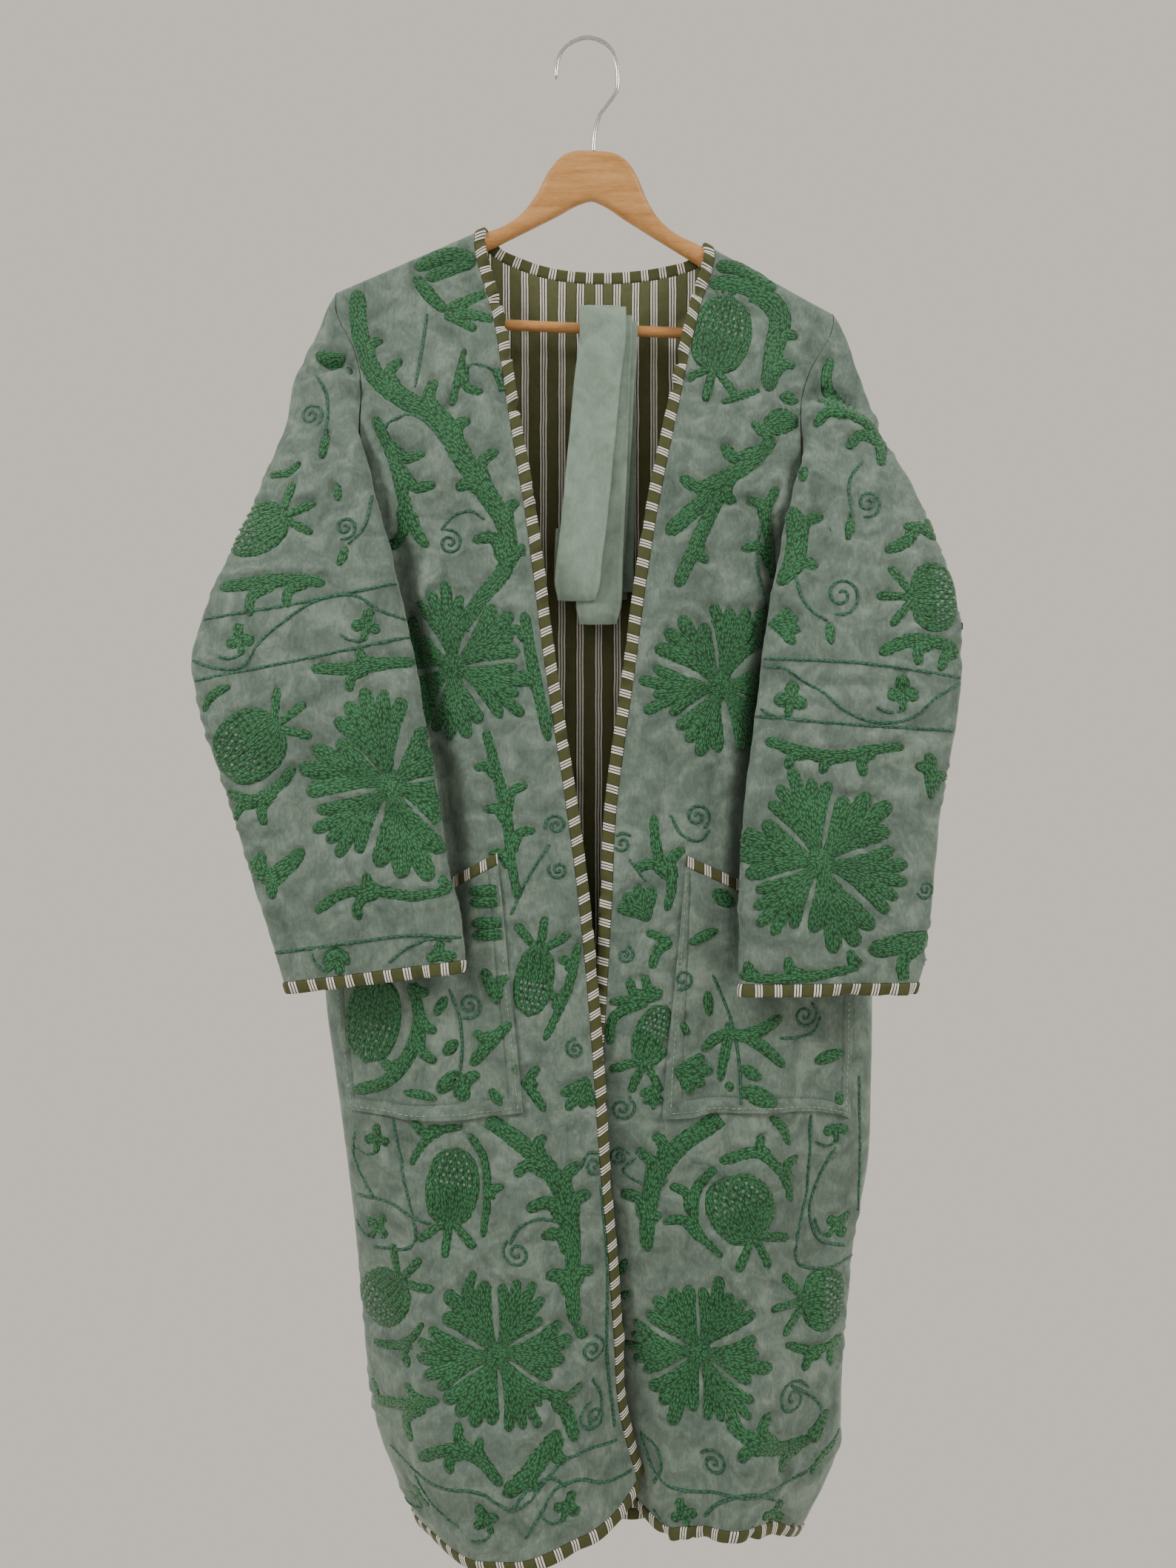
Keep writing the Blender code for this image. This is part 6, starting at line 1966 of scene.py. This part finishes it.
def make_stitches(name, dark, middle, bright, strength):
    tree, surface, place = start_material(name)
    flat = add_node(tree, "TexCoord").outputs["UV"]
    scaled = add_node(tree, "Mapping", {"Vector": flat, "Scale": (1 / LOOP[0], 1 / LOOP[1], 1.0)})
    loops = add_node(tree, "TexVoronoi", {"Vector": scaled.outputs["Vector"], "Scale": 1.0,
                                          "Randomness": 0.75}, voronoi_dimensions="2D")
    thread = add_node(tree, "TexNoise", {"Vector": place, "Scale": 620.0, "Detail": 3.0, "Roughness": 0.6})
    lot = add_node(tree, "TexNoise", {"Vector": place, "Scale": 22.0, "Detail": 2.0})
    dip = add_node(tree, "MapRange", {"Value": loops.outputs["Distance"], "From Min": 0.1,
                                      "From Max": 0.75, "To Min": 1.0, "To Max": 0.0})
    mixed = add_node(tree, "Mix", {0: 0.4, 2: dip.outputs["Result"], 3: thread.outputs["Fac"]},
                     data_type="FLOAT")
    shaded = add_node(tree, "Mix", {0: 0.22, 2: mixed.outputs[0], 3: lot.outputs["Fac"]},
                      data_type="FLOAT")
    # Painted highlight on the loop tops and painted shade in the gaps between loops, taken from the same loop
    # height as the bump
    tone = add_node(tree, "ValToRGB", {"Fac": shaded.outputs[0]},
                    [(0.24, dark), (0.5, middle), (0.78, bright)])
    finish_surface(surface, tone.outputs["Color"], mixed.outputs[0], strength, 0.0012, {
        "Roughness": 0.5, "Specular IOR Level": 0.35, "Sheen Weight": 0.25, "Sheen Roughness": 0.4})


make_stitches(STITCH_KINDS["stitches"], "#0f331b", "#215933", "#43875b", 1.0)
make_stitches(STITCH_KINDS["chain"], "#18402f", "#295743", "#46785f", 0.8)
make_stitches(STITCH_KINDS["topstitch"], "#5d7468", "#7b9183", "#9db0a4", 0.3)

# %% Beech: a close grained pale wood, sanded, then lacquered clear
# The eye sees honey brown with short darker flecks, and a soft gloss along the rounded edges.
tree, surface, place = start_material("beech, sanded and lacquered")
board = add_node(tree, "Mapping", {"Vector": place, "Scale": (12.0, 130.0, 130.0)})
grain = add_node(tree, "TexNoise", {"Vector": board.outputs["Vector"], "Scale": 1.0, "Detail": 6.0,
                                    "Roughness": 0.62, "Distortion": 0.4})
fleck_place = add_node(tree, "Mapping", {"Vector": place, "Scale": (160.0, 900.0, 900.0)})
fleck = add_node(tree, "TexNoise", {"Vector": fleck_place.outputs["Vector"], "Scale": 1.0, "Detail": 2.0})
both = add_node(tree, "Mix", {0: 0.25, 2: grain.outputs["Fac"], 3: fleck.outputs["Fac"]}, data_type="FLOAT")
tone = add_node(tree, "ValToRGB", {"Fac": both.outputs[0]},
                [(0.34, "#a06d36"), (0.5, "#bd874a"), (0.66, "#cd9c62")])
finish_surface(surface, tone.outputs["Color"], both.outputs[0], 0.12, 0.0004, {
    "Roughness": 0.38, "Coat Weight": 0.35, "Coat Roughness": 0.22})

# %% Chromed wire: drawn steel, bent, then plated
# The eye sees a bright bar of reflections with fine scratches from sliding on rails.
tree, surface, place = start_material("steel wire, chromed")
scratch = add_node(tree, "TexNoise", {"Vector": place, "Scale": 700.0, "Detail": 4.0, "Roughness": 0.7})
tone = add_node(tree, "ValToRGB", {"Fac": scratch.outputs["Fac"]}, [(0.35, "#a9aaab"), (0.65, "#d8d8d6")])
dull = add_node(tree, "MapRange", {"Value": scratch.outputs["Fac"], "To Min": 0.12, "To Max": 0.3})
finish_surface(surface, tone.outputs["Color"], scratch.outputs["Fac"], 0.08, 0.0002, {
    "Metallic": 1.0, "Roughness": dull.outputs["Result"]})

# %% [markdown]
# ## The room
# A hanging robe is looked at from all sides, so the room is left open: a pale world all round, and
# a pale floor well below. Two lamps high in front, at the left and the right, model the folds, and
# two broad, weaker ones behind light the back.

# %% World, floor, lamps and camera
FLOOR_RADIUS, FLOOR_DROP = 1.4, 2.15
LAMPS_AIM = Vector((0, 0, -0.65))
world = bpy.data.worlds.new("pale room")
bpy.context.scene.world = world
world.use_nodes = True
set_inputs(world.node_tree.nodes["Background"], {"Color": colour("#d6cfc4"), "Strength": 1.1})

bm = bmesh.new()
bmesh.ops.create_circle(bm, cap_ends=True, segments=96, radius=FLOOR_RADIUS)
bmesh.ops.translate(bm, verts=bm.verts, vec=(0, 0, -FLOOR_DROP))
floor_mesh = bpy.data.meshes.new("floor")
bm.to_mesh(floor_mesh)
bm.free()
floor = bpy.data.objects.new("floor", floor_mesh)
bpy.context.collection.objects.link(floor)
floor_mesh.materials.append(paint_here("pale plaster floor"))
tree, surface, place = start_material("pale plaster floor")
cloud = add_node(tree, "TexNoise", {"Vector": place, "Scale": 6.0, "Detail": 5.0})
tone = add_node(tree, "ValToRGB", {"Fac": cloud.outputs["Fac"]}, [(0.3, "#cbc4bc"), (0.7, "#d4cec7")])
finish_surface(surface, tone.outputs["Color"], cloud.outputs["Fac"], 0.05, 0.001, {"Roughness": 0.8})
floor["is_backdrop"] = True

LAMPS = [("key left", (-1.8, -1.3, 0.9), 0.6, 33.0), ("key right", (1.8, -1.3, 0.9), 0.6, 27.0),
         ("back left", (-1.5, 2.0, 0.2), 1.4, 14.0), ("back right", (1.6, 2.1, -0.4), 1.4, 10.0)]
for name, place, size, power in LAMPS:
    lamp = bpy.data.lights.new(name, "AREA")
    lamp.size, lamp.energy, lamp.color = size, power, (1.0, 0.97, 0.93)
    holder = bpy.data.objects.new(name, lamp)
    holder.location = place
    holder.rotation_euler = (LAMPS_AIM - Vector(place)).to_track_quat("-Z", "Y").to_euler()
    bpy.context.collection.objects.link(holder)

SENSOR = 36.0
camera_data = bpy.data.cameras.new("camera")
camera_data.sensor_width = SENSOR
camera_data.lens = SENSOR * FOCAL_PIXELS / max(PICTURE)
camera = bpy.data.objects.new("camera", camera_data)
camera.location = EYE
camera.rotation_euler = (math.radians(90), 0, 0)
bpy.context.collection.objects.link(camera)
bpy.context.scene.camera = camera
print("lens", round(camera_data.lens, 2), "mm")

# %% [markdown]
# ## The pockets' sides
# A loop reads the side of each pocket from its name, and nothing more is done with it.

for name, pocket in pockets.items():
    side = name.split("_")[1]

# %% The box of the finished robe against that of its solids
low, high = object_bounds()
for axis, a, b, c, d in zip("XYZ", solid_low, low, solid_high, high):
    print(axis, "low moved", round((b - a) * 1000, 1), "mm and high moved", round((d - c) * 1000, 1), "mm")
